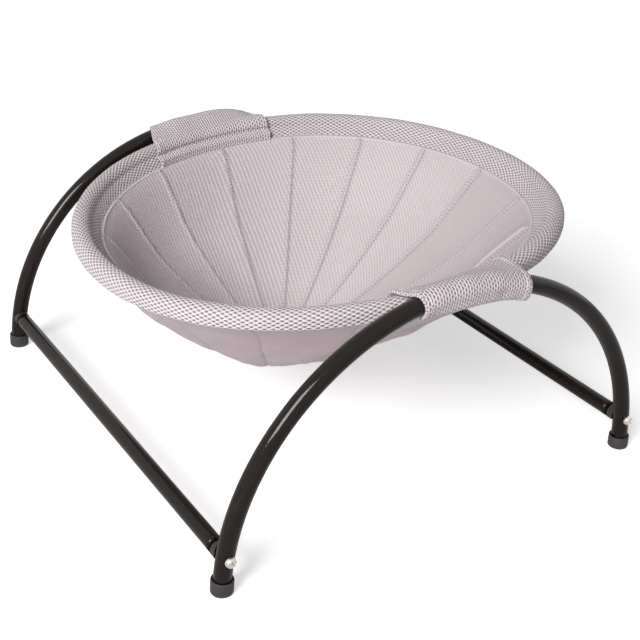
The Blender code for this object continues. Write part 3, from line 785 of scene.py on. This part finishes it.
# %% Band cover
def band_cover():
    """The band: its section carried round the hoop, with waves of a few tenths of a mm.

    Beside the arches, where the bed rocks closely past the tube, the waves go only inward.
    """
    seen, hidden = band_section()
    section = np.vstack([seen, hidden])
    seen_share = np.concatenate([np.ones(len(seen)), np.zeros(len(hidden))])[:, None]
    theta = turns_round(600)
    u, w = section[:, :1], section[:, 1:]
    facing = unit(np.concatenate([u + 0.004, w + 0.002], 1))[:, None]
    wave = ripple(theta, 3, 0.00028) + ripple(theta, 8, 0.00012)
    beside_arch = smooth_step(np.abs(np.sin(theta)), 0.88, 0.95)
    wave = seen_share * (wave - beside_arch * (np.maximum(wave, 0) + 0.00015))
    low_edge = smooth_step(w, -0.004, -0.009) * seen_share * ripple(theta, 21, 0.0004)
    u = u + facing[..., 0] * wave
    w = w + facing[..., 1] * wave + low_edge
    points = hang(bed(theta[None, :-1], u[:, :-1], w[:, :-1]))
    knit = band_pitch[0]
    round_count = round(rim_total / knit)
    across = np.append(walked(section), walked(section)[-1] + 0.0015)
    flat = np.stack(np.meshgrid(
        across, along_rim(theta) / rim_total * round_count * knit, indexing="ij"), -1)[..., ::-1]
    piece = put(surface("band_cover", points, flat, loop=True, ring=True),
                band_cloth, "hammock")
    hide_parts("mesh_band")
    return piece


band_piece = band_cover()
print("made", band_piece.name, "with", len(band_piece.data.polygons), "faces")

# %% [markdown]
# ## The bowl
#
# Shell and liner are sixteen gores each, sewn into one bowl that has sunk toward the low
# side. The depth under the rim follows a power of the distance from the middle, steeper at
# the rim and soft at the bottom. Between two seams a gore swells a little. Columns of the
# grid crowd at the seams, because that is where the detail is.

# %% Shape of the bowl
bowl_depth, bowl_power, bowl_radius = 0.153, 1.52, 0.2329696
bowl_top, bowl_end = 0.0062222, -0.2010014
sag_shift, sag_start = 0.047, 0.018
shell_thickness, liner_thickness, fit_gap = 0.0012, 0.004, play
gore_count, gore_crown = 16, 0.0016
gore_turn = 2 * np.pi / gore_count


def bowl_profile(u):
    """Outer face of the bowl at a distance u from the hoop: w, and the outward direction.

    w = outer seam - depth * (1 - share^power), share being the distance from the middle.
    Inside the last ring the slope dies away in proportion to the distance.
    """
    share = (half_length + u) / bowl_radius
    last = (half_length + bowl_end) / bowl_radius
    slope_last = bowl_depth * bowl_power * last ** (bowl_power - 1) / bowl_radius
    within = np.minimum(share / last, 1)
    w = outer_seam - bowl_depth * (1 - np.maximum(share, last) ** bowl_power)
    w = w - slope_last * last * bowl_radius / 2 * (1 - within**2)
    slope = bowl_depth * bowl_power * np.maximum(share, last) ** (bowl_power - 1) / bowl_radius
    slope = slope * within
    return w, np.stack([slope, -np.ones_like(slope)], -1) / np.sqrt(1 + slope**2)[..., None]


def crown_at(u):
    """Swell of a gore: nothing at the rim and at the middle, full in between."""
    share = (bowl_top - u) / (bowl_top - bowl_end)
    rise = np.clip((share - 0.10) / 0.25, 0, 1)
    fall = np.clip((1 - share) / 0.35, 0, 1)
    return gore_crown * rise * fall


def bowl_places(theta, u, lift, extra=0.0):
    """Level places on the bowl: a ring at u, lifted inward off the outer face.

    The ring swells outward by crown * |sin(16 theta / 2)| and moves as a whole toward the low
    side. Inside the last ring it shrinks in proportion, so that it ends in one point.
    """
    inner = np.minimum(u, bowl_end)
    ring_u = np.maximum(u, bowl_end)
    shrink = (half_length + inner) / (half_length + bowl_end)
    w, outward = bowl_profile(u)
    swell = crown_at(u) * np.abs(np.sin(gore_count * theta / 2)) - lift + extra
    places = bed(theta, ring_u + outward[..., 0] * swell, w + outward[..., 1] * swell, shrink)
    sag = -sag_shift * np.maximum(-sag_start - u, 0) / (half_length - sag_start)
    return places + np.stack(np.broadcast_arrays(sag, 0.0, 0.0), -1)


def crowded_turns(u, near_seam, between):
    """Turns of a ring's columns: fixed distances either side of each seam, even between.

    The distances are in metres, so a seam keeps its width; near the middle they are cut down
    to six tenths of half a gore.
    """
    radius = np.maximum(half_length + u, 0.004)[:, None]
    near = np.asarray(near_seam)[None] / radius
    near = near * np.minimum(1, 0.6 * gore_turn / 2 / near[:, -1:])
    steps = np.linspace(0, 1, between + 2)[1:-1]
    middle = near[:, -1:] + (gore_turn - 2 * near[:, -1:]) * steps
    gore = np.hstack([np.zeros_like(radius), near, middle, gore_turn - near[:, ::-1]])
    starts = gore_turn * np.arange(gore_count)
    return (starts[None, :, None] + gore[:, None, :]).reshape(len(u), -1)


def seam_distance(theta, u):
    """Distance in metres to the nearest seam, and the gore's number."""
    turn = theta / gore_turn
    return (turn - np.round(turn)) * gore_turn * (half_length + u), np.round(turn)


def gore_flat(theta, u):
    """Flat place of the cloth: side by side gores, each true to width and length."""
    w = bowl_profile(u)[0]
    down = walked(np.stack([u, w], -1))
    theta = np.hstack([theta, theta[:, :1] + 2 * np.pi])
    across = theta * (half_length + u[:, None])
    return np.stack([across, np.broadcast_to(down[:, None], across.shape)], -1)


print("gores:", gore_count, "of", round(gore_turn * half_length, 4), "m at the rim")

# %% Outer shell
def paint_seam_shade(mesh, values):
    """Keep for each point of a capped grid how much painted shade its colour gets, from 0 to 1; its
    two end points get 0.
    """
    spots = mesh.attributes.new("seam_shade", "FLOAT", "POINT")
    spots.data.foreach_set("value", np.append(values.ravel(), [0.0, 0.0]))


def shell_folds(theta, u):
    """Soft creases of the hanging cloth, outward only: long low ridges that run askew."""
    depth = (bowl_top - u) / (bowl_top - bowl_end)
    body = smooth_step(depth, 0.08, 0.25) * smooth_step(depth, 0.85, 0.5)
    ridge = 0.0
    for seed, turns, lean, size in (
        (1, 5, 1.3, 0.0024), (2, 9, -1.7, 0.0020), (5, 17, 0.9, 0.0007)
    ):
        chance = np.random.default_rng(seed).uniform(0, 2 * np.pi)
        wave = np.sin(turns * theta + lean * turns * depth + chance)
        ridge = ridge + size * np.maximum(wave, 0) ** 3
    return ridge * body


def outer_shell_cloth():
    """The smooth shell with its inner face 1.2 mm in, its top edge tucked up in the band."""
    u = bowl_top - (half_length + bowl_top) * np.linspace(0, 1, 84)[:-1] ** 0.96
    theta = crowded_turns(u, (0.0009, 0.0022), 15)
    aside, _ = seam_distance(theta, u[:, None])
    fade = smooth_step(u, bowl_end, bowl_end + 0.03)[:, None]
    groove = -0.0006 * hump(aside, 0, 0.0014) * fade
    outer = bowl_places(theta, u[:, None], 0.0, shell_folds(theta, u[:, None]) + groove)
    few = np.r_[0:len(u):4, len(u) - 1]
    inner = bowl_places(theta[few], u[few, None], shell_thickness)
    tuck = np.array([0, 0, 0.0017])
    points = np.concatenate([outer[::-1], outer[:1] + tuck, inner[:1] + tuck, inner])
    rows = np.concatenate([np.arange(len(u))[::-1], [0, 0], few])
    flat = gore_flat(theta, u)[rows]
    mesh = surface("outer_shell_cloth", hang(points), flat, ring=True, capped=True)
    # Painted shade along the groove of each seam.
    paint_seam_shade(mesh, (hump(aside, 0, 0.0009) * fade)[rows])
    piece = put(mesh, shell_cloth, "hammock")
    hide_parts("outer_shell")
    return piece


shell_piece = outer_shell_cloth()
print("made", shell_piece.name, "with", len(shell_piece.data.polygons), "faces")

# %% [markdown]
# ## The liner
#
# The liner hangs from the inner seam and lies on the shell below. Its seams are felled: the
# edges are folded into a flat welt about 5 mm wide and sewn down with a row of stitches on
# either side. The welt is a height added along the seam, and each stitch is a small grain
# of thread that lies in its groove.

# %% Liner
def liner_corner():
    """Where the liner leaves the shell for the inner seam: the ring u and the lift there.

    Halving finds the u whose outward line passes through the corner under the seam.
    """
    corner = leg_foot - (0, fit_gap)
    low, high = bowl_end, bowl_top
    for _ in range(60):
        u = np.array((low + high) / 2)
        w, outward = bowl_profile(u)
        to_corner = corner - (u, w)
        if to_corner @ np.array([-outward[1], outward[0]]) > 0:
            low = u
        else:
            high = u
    return float(u), float(-to_corner @ outward)


liner_top, liner_lift = liner_corner()
seat = shell_thickness + fit_gap
welt_half, stitch_aside = 0.0026, 0.0021
folded_seam = 14


def liner_rise(u):
    """Lift of the liner's outer face: from the inner seam it eases down to the shell.

    With t the distance from the top over 70 mm: seat + (lift - seat) * (1 - t)^2 * (1 + 2 t).
    """
    t = np.clip((liner_top - u) / 0.070, 0, 1)
    return seat + (liner_lift - seat) * (1 - t) ** 2 * (1 + 2 * t)


def welt_height(theta, u):
    """Height of the felled seam: a flat ridge with two grooves under the stitch rows."""
    aside, _ = seam_distance(theta, u)
    away = np.abs(aside)
    ridge = 0.0013 * smooth_step(away, welt_half + 0.0005, welt_half - 0.0005)
    groove = -0.0009 * hump(away, stitch_aside, 0.0006)
    fade = smooth_step(u, bowl_end - 0.012, bowl_end + 0.01) * smooth_step(
        u, liner_top + 0.0005, liner_top - 0.003)
    pad = 0.0008 * np.abs(np.sin(gore_count * theta / 2)) ** 0.7
    return (ridge + groove) * fade + pad * smooth_step(u, liner_top, liner_top - 0.03)


def fold_place(theta, u):
    """Distance from the folded seam on the right, and how much of the fold is left there."""
    down = liner_top - u
    reach = smooth_step(down, 0.0, 0.007) * smooth_step(down, 0.070, 0.030)
    return (theta - folded_seam * gore_turn) * (half_length + u), reach


def gather(theta, u):
    """The fold at the seam on the right: a soft rise on one side and a steep drop on the other."""
    aside, reach = fold_place(theta, u)
    rise = np.where(aside > 0, hump(aside, 0, 0.020), hump(aside, 0, 0.0022))
    return reach * (0.0050 * rise - 0.0026 * hump(aside, -0.0065, 0.006))


def liner_gores():
    """The liner: its seen face with welts and padding, and a plain face toward the shell."""
    share = np.concatenate([[0, 0.004, 0.008], np.linspace(0.014, 1, 76)[:-1]])
    u = liner_top - (half_length + liner_top) * share
    near = (0.0008, 0.0015, 0.0019, 0.0022, 0.0026, 0.0030)
    theta = crowded_turns(u, near, 16)
    column = u[:, None]
    seen = bowl_places(theta, column, liner_rise(column) + liner_thickness
                       + welt_height(theta, column) + gather(theta, column))
    few = np.r_[0:len(u):4, len(u) - 1]
    hidden = bowl_places(theta[few], column[few], liner_rise(column[few]))
    points = np.concatenate([hidden[::-1], seen])
    rows = np.concatenate([few[::-1], np.arange(len(u))])
    flat = gore_flat(theta, u)[rows]
    mesh = surface("liner_gores", hang(points), flat, ring=True, capped=True)
    # Painted shade in the grooves of the stitch rows, and a painted shadow in the crevice on the
    # steep side of the fold.
    away = np.abs(seam_distance(theta, column)[0])
    aside, reach = fold_place(theta, column)
    fold_crevice_shadow = 0.9 * reach * hump(aside, -0.0050, 0.0026)
    paint_seam_shade(mesh, np.maximum(hump(away, stitch_aside, 0.0007), fold_crevice_shadow)[rows])
    piece = put(mesh, liner_cloth, "hammock")
    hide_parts("inner_liner")
    return piece


liner_piece = liner_gores()
print("made", liner_piece.name, "with", len(liner_piece.data.polygons), "faces")

# %% Stitches along the liner's seams
def square_up(up, along):
    """Directions up, turned square to the directions along."""
    return unit(up - along * (up * along).sum(1, keepdims=True))


def grains(name, middles, along, up, length, width, height):
    """One mesh of many small thread grains: six-sided beads stretched along their stitch.

    Each bead is five rings with flat ends; middles, along and up have one row per stitch.
    """
    share = np.array([-1, -0.62, 0, 0.62, 1])
    fat = np.array([0.15, 0.75, 1, 0.75, 0.15])
    turns = whole_turn(6)
    across = np.cross(along, up)
    bead = (along[:, None, None] * (share * length / 2)[:, None, None]
            + across[:, None, None] * (fat[:, None] * np.cos(turns) * width / 2)[..., None]
            + up[:, None, None] * (fat[:, None] * np.sin(turns) * height / 2)[..., None])
    spots = (middles[:, None, None] + bead).reshape(-1, 3)
    quads = grid_faces(5, 6, ring=True)[1]
    tips = np.array([[0, 5, 4, 3], [0, 3, 2, 1], [24, 25, 26, 27], [24, 27, 28, 29]])
    faces = np.vstack([quads, tips])
    faces = (faces[None] + 30 * np.arange(len(middles))[:, None, None]).reshape(-1, 4)
    return built(name, spots, faces.tolist(), spots[faces.ravel(), :2])


def liner_stitches():
    """Two rows of stitches down every seam of the liner, one stitch every 3.7 mm."""
    pitch, length = 0.0037, 0.0029
    u = np.linspace(liner_top - 0.004, bowl_end + 0.002, 700)
    down = walked(np.stack([u, bowl_profile(u)[0]], 1))
    stops = np.arange(pitch / 2, down[-1], pitch)
    at = np.interp(stops, down, u)
    seams = gore_turn * np.arange(gore_count)
    rows = []
    for step in (-0.0002, 0.0002):
        u_row = at[:, None] + step
        radius = half_length + u_row
        sides = np.array([-1, 1]) * stitch_aside / radius
        theta = seams[None, :, None] + sides[:, None, :]
        column = np.broadcast_to(u_row[:, None], theta.shape)
        lift = liner_rise(column) + liner_thickness + 0.0007 + gather(theta, column)
        rows.append(bowl_places(theta % (2 * np.pi), column, lift))
    start, end = (hang(row).reshape(-1, 3) for row in rows)
    along = unit(end - start)
    lifted = hang(bowl_places(theta % (2 * np.pi), column, lift + 0.001)).reshape(-1, 3)
    up = square_up(unit(lifted - end), along)
    mesh = grains("liner_stitches", (start + end) / 2, along, up, length, 0.0010, 0.0008)
    return put(mesh, thread_cloth, "hammock")


stitch_piece = liner_stitches()
print("made", stitch_piece.name, "with", len(stitch_piece.data.polygons), "faces")

# %% [markdown]
# ## Bindings, wraps and tapes
#
# A wrap is a flap of the same air mesh. It starts at the inner seam, goes over the band,
# across to the arch, round its tube and back under, where hook-and-loop tape holds it. Its
# path is worked out in upright planes side by side, and the flap is a slab between two such
# grids. Its two ends are cut a little askew, turned over into a hem and sewn.

# %% Slabs and rolls
def slab(name, top, bottom, flat):
    """A closed mesh between two grids of one shape: both faces and the edge all round."""
    rows, columns = top.shape[:2]
    count = rows * columns
    quads = grid_faces(rows, columns)[1]
    number = np.arange(count).reshape(rows, columns)
    edge = np.concatenate([number[0, :-1], number[:-1, -1], number[-1, :0:-1], number[:0:-1, 0]])
    after = np.roll(edge, -1)
    border = np.stack([after, edge, edge + count, after + count], 1)
    faces = np.vstack([quads, quads[:, ::-1] + count, border])
    spots = np.vstack([top.reshape(-1, 3), bottom.reshape(-1, 3)])
    return built(name, spots, faces.tolist(), flat.reshape(-1, 2)[faces.ravel() % count])


def roll(name, path, upward, width, height, loop=False, sides=12):
    """A rounded strip along a path: an oval ring square to the path, its height along upward.

    width and height may be one number or one per point of the path.
    """
    path, upward = np.asarray(path), np.broadcast_to(upward, np.shape(path))
    ahead = np.roll(path, -1, 0) if loop else np.gradient(path, axis=0) + path
    behind = np.roll(path, 1, 0) if loop else path
    along = unit(ahead - behind)
    side = unit(np.cross(along, upward))
    rise = np.cross(side, along)
    turns = whole_turn(sides)[:, None]
    half_w = np.broadcast_to(width, len(path))[:, None, None] / 2
    half_h = np.broadcast_to(height, len(path))[:, None, None] / 2
    points = (path[:, None] + half_w * np.cos(turns) * side[:, None]
              + half_h * np.sin(turns) * rise[:, None])
    far = walked(np.vstack([path, path[:1]])) if loop else walked(path)
    flat = np.stack(np.meshgrid(far, np.linspace(0, 0.01, sides + 1), indexing="ij"), -1)
    return surface(name, points, flat, loop=loop, ring=True, capped=not loop)


print("helpers for slabs and rolls ready")

# %% Binding of the inner seam
def inner_binding():
    """The tape that covers the inner seam: a flat roll along the foot of the band."""
    theta = turns_round(480)[:-1]
    foot = seam_foot + (-0.0012, 0.0004)
    path = hang(bed(theta, foot[0] + ripple(theta, 5, 0.0002), foot[1] + ripple(theta, 6, 0.0003)))
    inward = path - hang(bed(theta, foot[0] + 0.01, foot[1] + 0.004))
    return put(roll("inner_binding", path, unit(inward), 0.0030, 0.0026, loop=True, sides=14),
               binding_cloth, "hammock")


binding_piece = inner_binding()
print("made", binding_piece.name)

# %% Path of a wrap
wrap_thickness = 0.0026
path_points, middle_point, middle_column = 150, 60, 38
rim_start, rim_end = 6, -1


def oval_at(centre, half_wide, half_high, facing):
    """Point of an upright oval whose surface faces a direction."""
    c, s = np.cos(facing), np.sin(facing)
    size = np.hypot(half_wide * c, half_high * s)
    return centre + np.stack([half_wide**2 * c, half_high**2 * s], -1) / size[..., None]


def cut_bed(x, u, w):
    """Where the upright plane at world x cuts a place (u, w) of the bed: outward y and z.

    y = (half width + u) * oval_reach; the tilt lifts z by x.
    """
    level = (x - pivot_x) / math.cos(rest_tilt)
    height = hoop_z + w + bow_at(level)
    rise = level * math.sin(rest_tilt) + height * math.cos(rest_tilt) + pivot_z
    return np.array([(half_width + u) * oval_reach(level, u), rise])


def taut_facing(first, second):
    """Direction that a taut cloth faces where it spans from one oval to the next, by halving."""
    low, high = 0.0, np.pi
    for _ in range(40):
        facing = np.array((low + high) / 2)
        span = oval_at(*first, facing) - oval_at(*second, facing)
        if span @ np.array([np.cos(facing), np.sin(facing)]) > 0:
            high = float(facing)
        else:
            low = float(facing)
    return float(facing)


def wrap_path(x, slack):
    """Inner face of a wrap in the upright plane at x, as path_points places (y, z).

    Up the inner leg, over the band, taut across to the tube, round it, down with some slack
    and back to the bowl's outer face below the outer seam.
    """
    gap = 0.0004
    hoop = cut_bed(x, 0, 0)
    lean = abs(float((cut_bed(x + 0.001, 0, 0) - cut_bed(x - 0.001, 0, 0))[0])) / 0.002
    over_band = (hoop, (band_radius + gap) * math.hypot(1, lean), band_radius + gap)
    rise = math.sqrt(arch_radius**2 - x**2)
    tube = np.array([arch_y, rise])
    size = (tube_radius + gap, (tube_radius + gap) * arch_radius / rise)
    over_tube = (tube, *size)
    below = (tube - (0.001, slack), *size)
    facing = taut_facing(over_band, over_tube)
    up_leg = [cut_bed(x, *(spot + 0.0006 * off_leg)) for spot in (seam_foot, seen_knee)]
    parts = [
        up_leg, oval_at(*over_band, np.linspace(np.pi * 0.98, facing, 24)),
        oval_at(*over_tube, np.linspace(facing, -0.1, 24)),
        oval_at(*below, np.linspace(-0.35, -np.pi * 0.55, 18)),
    ]
    low = oval_at(*below, np.array(-np.pi * 0.55))
    ends = [cut_bed(x, u, float(bowl_profile(np.array(u))[0]) - 0.0028)
            for u in (0.0046, -0.0015, -0.008, -0.014)]
    parts += [[low * 0.55 + ends[0] * 0.45 - (0, 0.0006)], ends]
    path = evenly(np.vstack(parts), path_points)
    for _ in range(2):
        path[1:-1] = path[1:-1] / 2 + (path[:-2] + path[2:]) / 4
    away = path - tube
    reach = np.hypot(away[:, 0] / size[0], away[:, 1] / size[1])
    away *= np.where(reach < 1, 1 / np.maximum(reach, 0.2), 1)[:, None]
    return tube + away


# %% Wraps
def wrap_cloth_grid(side, left, right, slack, pulled):
    """Inner and outer face of a wrap, cut askew at both ends, and its flat places.

    left and right give the ends' x by the share of the way along the path, slack how far the
    cloth hangs below the tube by x, and pulled how far it stands off its taut path by x and
    share. Both ends are turned over into a hem 6 mm wide. Paths are worked out in upright
    planes side by side and read off between them.
    """
    planes = np.linspace(-0.080, 0.080, 50)
    paths = np.array([wrap_path(x, slack(x)) for x in planes])
    share = np.linspace(0, 1, path_points)
    near = np.linspace(0, 0.075, 16)
    columns = np.concatenate([near, np.linspace(0.085, 0.915, 62), 1 - near[::-1]])
    width = (right(share) - left(share))[:, None]
    x = left(share)[:, None] + width * columns
    place = (x - planes[0]) / (planes[1] - planes[0])
    first = np.clip(np.floor(place).astype(int), 0, len(planes) - 2)
    part = (place - first)[..., None]
    row = np.arange(path_points)[:, None]
    yz = paths[first, row] * (1 - part) + paths[first + 1, row] * part
    points = np.dstack([x, yz[..., 0], yz[..., 1]])
    facing = unit(np.cross(np.gradient(points, axis=1), np.gradient(points, axis=0)))
    facing *= np.sign(facing[middle_point, middle_column, 2])
    from_end = np.minimum(columns, 1 - columns) * width
    hem = 0.0007 * smooth_step(from_end, 0.0068, 0.0056) - 0.0007 * hump(from_end, 0.0050, 0.0006)
    rounding = np.sqrt(np.clip(1 - (1 - np.clip(from_end / 0.0012, 0, 1)) ** 2, 0.04, 1))
    thick = (wrap_thickness + hem) * rounding
    loose = pulled(x, share[:, None])
    inner = points + facing * ((wrap_thickness - thick) / 2 + np.maximum(loose, 0) * 0.8)[..., None]
    outer = points + facing * ((wrap_thickness + thick) / 2 + loose)[..., None]
    flat = np.dstack([x, np.broadcast_to(walked(points[:, middle_column])[:, None], x.shape)])
    mirror = np.array([1, side, 1])
    return inner * mirror, outer * mirror, flat


def hem_stitches(name, inner, outer, column):
    """A row of stitches along a hem, one every 3.2 mm, ending short of both ends of the flap."""
    pitch, length = 0.0032, 0.0024
    from_foot, from_tail = 0.009, 0.030
    path = outer[:, column]
    far = walked(path)
    stops = np.arange(from_foot, far[-1] - from_tail, pitch)

    def at_stops(values):
        return np.stack([np.interp(stops, far, values[:, k]) for k in range(3)], 1)

    along = unit(at_stops(np.gradient(path, axis=0)))
    up = square_up(unit(at_stops(path - inner[:, column])), along)
    return grains(name, at_stops(path) + 0.0002 * up, along, up, length, 0.0008, 0.0007)


def tie(mesh, cloth):
    """Show a piece of a wrap with its place baked into the mesh; it is attached to no body."""
    mesh.materials.append(cloth)
    piece = shown(mesh.name, mesh)
    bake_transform(piece)
    return piece


def hammock_wrap(row, side, left, right, slack, pulled):
    """One wrap, with the rolled edge and the stitches of its two hems."""
    inner, outer, flat = wrap_cloth_grid(side, left, right, slack, pulled)
    piece = tie(slab(f"{row}_wrap_cloth", outer, inner, flat), wrap_cloth)
    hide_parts(f"{row}_wrap")
    trims = []
    bumps = 1 + 0.04 * np.sin(np.arange(path_points + rim_end - rim_start) * 2.1)
    for end, edge, column in (("left", 0, 10), ("right", -1, -11)):
        path = (inner[:, edge] + outer[:, edge])[rim_start:rim_end] / 2
        upward = unit(outer[:, middle_column] - inner[:, middle_column])[rim_start:rim_end]
        rim = roll(f"{row}_wrap_rim_{end}", path, upward, 0.0015 * bumps, 0.0033 * bumps)
        trims.append(tie(rim, wrap_cloth))
        mesh = hem_stitches(f"{row}_wrap_stitches_{end}", inner, outer, column)
        trims.append(tie(mesh, thread_cloth))
    return piece, trims


def slant(start, end):
    """A cut that runs from one x at the inner seam to another by the tube, then straight."""
    return lambda share: start + (end - start) * smooth_step(share, 0.10, 0.62)


# %% Front and rear wrap
def front_slack(x):
    """The front wrap hugs the tube at its left end and hangs a little free further on."""
    return 0.001 + 0.006 * smooth_step(x, -0.050, -0.015) - 0.0025 * smooth_step(x, 0.0, 0.06)


def front_pull(x, share):
    """A lifted lip at the left end, soft pull lines, and one small dimple."""
    lip = 0.0022 * smooth_step(x, -0.046, -0.056) * hump(share, 0.20, 0.08)
    lines = 0.0003 * hump(share, 0.42, 0.16) * (1 + np.sin(x * 210 + 2.0))
    return lip + lines - 0.0018 * hump(x, 0.033, 0.006) * hump(share, 0.56, 0.035)


def rear_pull(x, share):
    """A rolled fold along the inner seam with a crease above it, and a puffed crown."""
    fold = 0.0030 * hump(share, 0.045, 0.026) - 0.0016 * hump(share, 0.098, 0.012)
    crown = 0.0022 * hump(share, 0.17, 0.05)
    puff = 0.0036 * hump(x, 0.034, 0.028) * hump(share, 0.42, 0.16)
    return fold + (crown + puff) + 0.0003 * hump(share, 0.3, 0.2) * np.sin(x * 160)


front_wrap, front_trims = hammock_wrap(
    "front", -1, slant(-0.056, -0.047), slant(0.060, 0.064), front_slack, front_pull)
rear_wrap, rear_trims = hammock_wrap(
    "rear", 1, slant(-0.071, -0.054), slant(0.067, 0.056), lambda x: 0.006 + 0 * x, rear_pull)
print("made", front_wrap.name, "and", rear_wrap.name)

# %% Tapes under the wraps
tape_length, tape_width, tape_thickness = 0.100, 0.020, 0.001
tape_start, tape_run = 0.006, 0.0133
tape_middle = {"front": 0.0041, "rear": -0.0024}


def tape_strip(name, row, side, lift, cloth, node_name):
    """A strip of tape on the shell under a wrap; tape_run is how far it goes inward."""
    x = np.linspace(-tape_length / 2, tape_length / 2, 40) + tape_middle[row]
    far = np.linspace(0, 1, 10)
    u = bowl_top - tape_start - tape_run * far
    w, outward = bowl_profile(u)
    faces = []
    for height in (lift, lift + tape_thickness):
        spot_u, spot_w = u + outward[:, 0] * height, w + outward[:, 1] * height
        y = side * (half_width + spot_u[:, None]) * oval_reach(x[None], spot_u[:, None])
        z = hoop_z + spot_w[:, None] + bow_at(x)[None]
        faces.append(hang(np.dstack(np.broadcast_arrays(x[None], y, z))))
    flat = np.dstack(np.broadcast_arrays(x[None], tape_width * far[:, None]))
    piece = put(slab(name, faces[1], faces[0], flat), cloth, "hammock")
    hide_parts(node_name)
    return piece


for row, side in arch_rows:
    for kind, lift, cloth in (("loop", 0.0003, loop_cloth), ("hook", 0.0015, hook_cloth)):
        tape_strip(f"{row}_{kind}_strip", row, side, lift, cloth,
                                      f"{row}_{kind}_tape")

# %% [markdown]
# ## The cloth's areas
#
# The area of one face of the shell, the liner and each wrap is printed. A gored bowl is cut
# from strips that are wide at the rim and narrow in the middle.

# %% Cloth sizes
def one_face(piece):
    """Area of one face of a closed cloth: half of all its faces."""
    return sum(face.area for face in piece.data.polygons) / 2


for piece in (shell_piece, liner_piece):
    print(piece.name, "face area", round(one_face(piece), 4), "m2")
for piece, trims, width in ((front_wrap, front_trims, 0.115), (rear_wrap, rear_trims, 0.128)):
    row = piece.name.split("_")[0]
    print(piece.name, "face area", round(one_face(piece), 4), "m2")

# %% [markdown]
# ## Floor and light
#
# A plain pale floor, one large soft lamp high on the left, a weaker one from the right, and a
# pale room all round. The room shows white to the camera, in gloss and through glass without
# lighting the object more. The floor glows for the camera alone: half near the object, where
# the shadow has to stay, and fully further out, where floor and room have to meet unseen.

# %% Floor
floor_mesh = bpy.data.meshes.new("floor")
floor_mesh.from_pydata([(-6, -6, 0), (6, -6, 0), (6, 8, 0), (-6, 8, 0)], [], [(0, 1, 2, 3)])
floor = shown("floor", floor_mesh)
floor_paper, tree, shader, place = finish("floor_paper", 0.9)
paper = node(tree, "ShaderNodeTexNoise", place, None, 3.0, 3.0, 0.5)
tree.links.new(tint(tree, paper, (0.86, 0.86, 0.86), (0.90, 0.90, 0.90)),
               shader["Base Color"])
shader["Emission Color"].default_value = (1, 1, 1, 1)
seen = node(tree, "ShaderNodeLightPath")
away = node(tree, "ShaderNodeVectorMath", place, out=1, operation="LENGTH")
fade = ramp(tree, away, 0.6, 2.2, 0.5, 1.0)
tree.links.new(maths(tree, "MULTIPLY", seen, fade), shader["Emission Strength"])
floor_mesh.materials.append(floor_paper)

world = bpy.data.worlds.new("pale_room")
world.use_nodes = True
tree = world.node_tree
back = tree.nodes["Background"]
seen = node(tree, "ShaderNodeLightPath")
direct = maths(tree, "MAXIMUM", seen, seen.node.outputs["Is Glossy Ray"])
direct = maths(tree, "MAXIMUM", direct, seen.node.outputs["Is Transmission Ray"])
tree.links.new(ramp(tree, direct, 0, 1, 0.17, 1.0), back.inputs["Strength"])
back.inputs["Color"].default_value = (1, 1, 1, 1)
bpy.context.scene.world = world


# %% Lamps
def lamp(name, place, aim, size, watts):
    """A square soft lamp at a place, turned to face a point."""
    made = bpy.data.lights.new(name, "AREA")
    made.size, made.energy = size, watts
    backward = unit(np.subtract(place, aim))
    side = unit(np.cross((0, 0, 1), backward))
    stand(shown(name, made), side, np.cross(backward, side), backward, place)


lamp("key", (-3.5, -1.75, 2.8), (0, 0, 0.1), 2.0, 250)
lamp("fill", (1.8, -0.8, 1.4), (0, 0, 0.1), 1.6, 3)
bpy.context.scene.view_settings.view_transform = "Standard"
print("floor, room and two lamps")
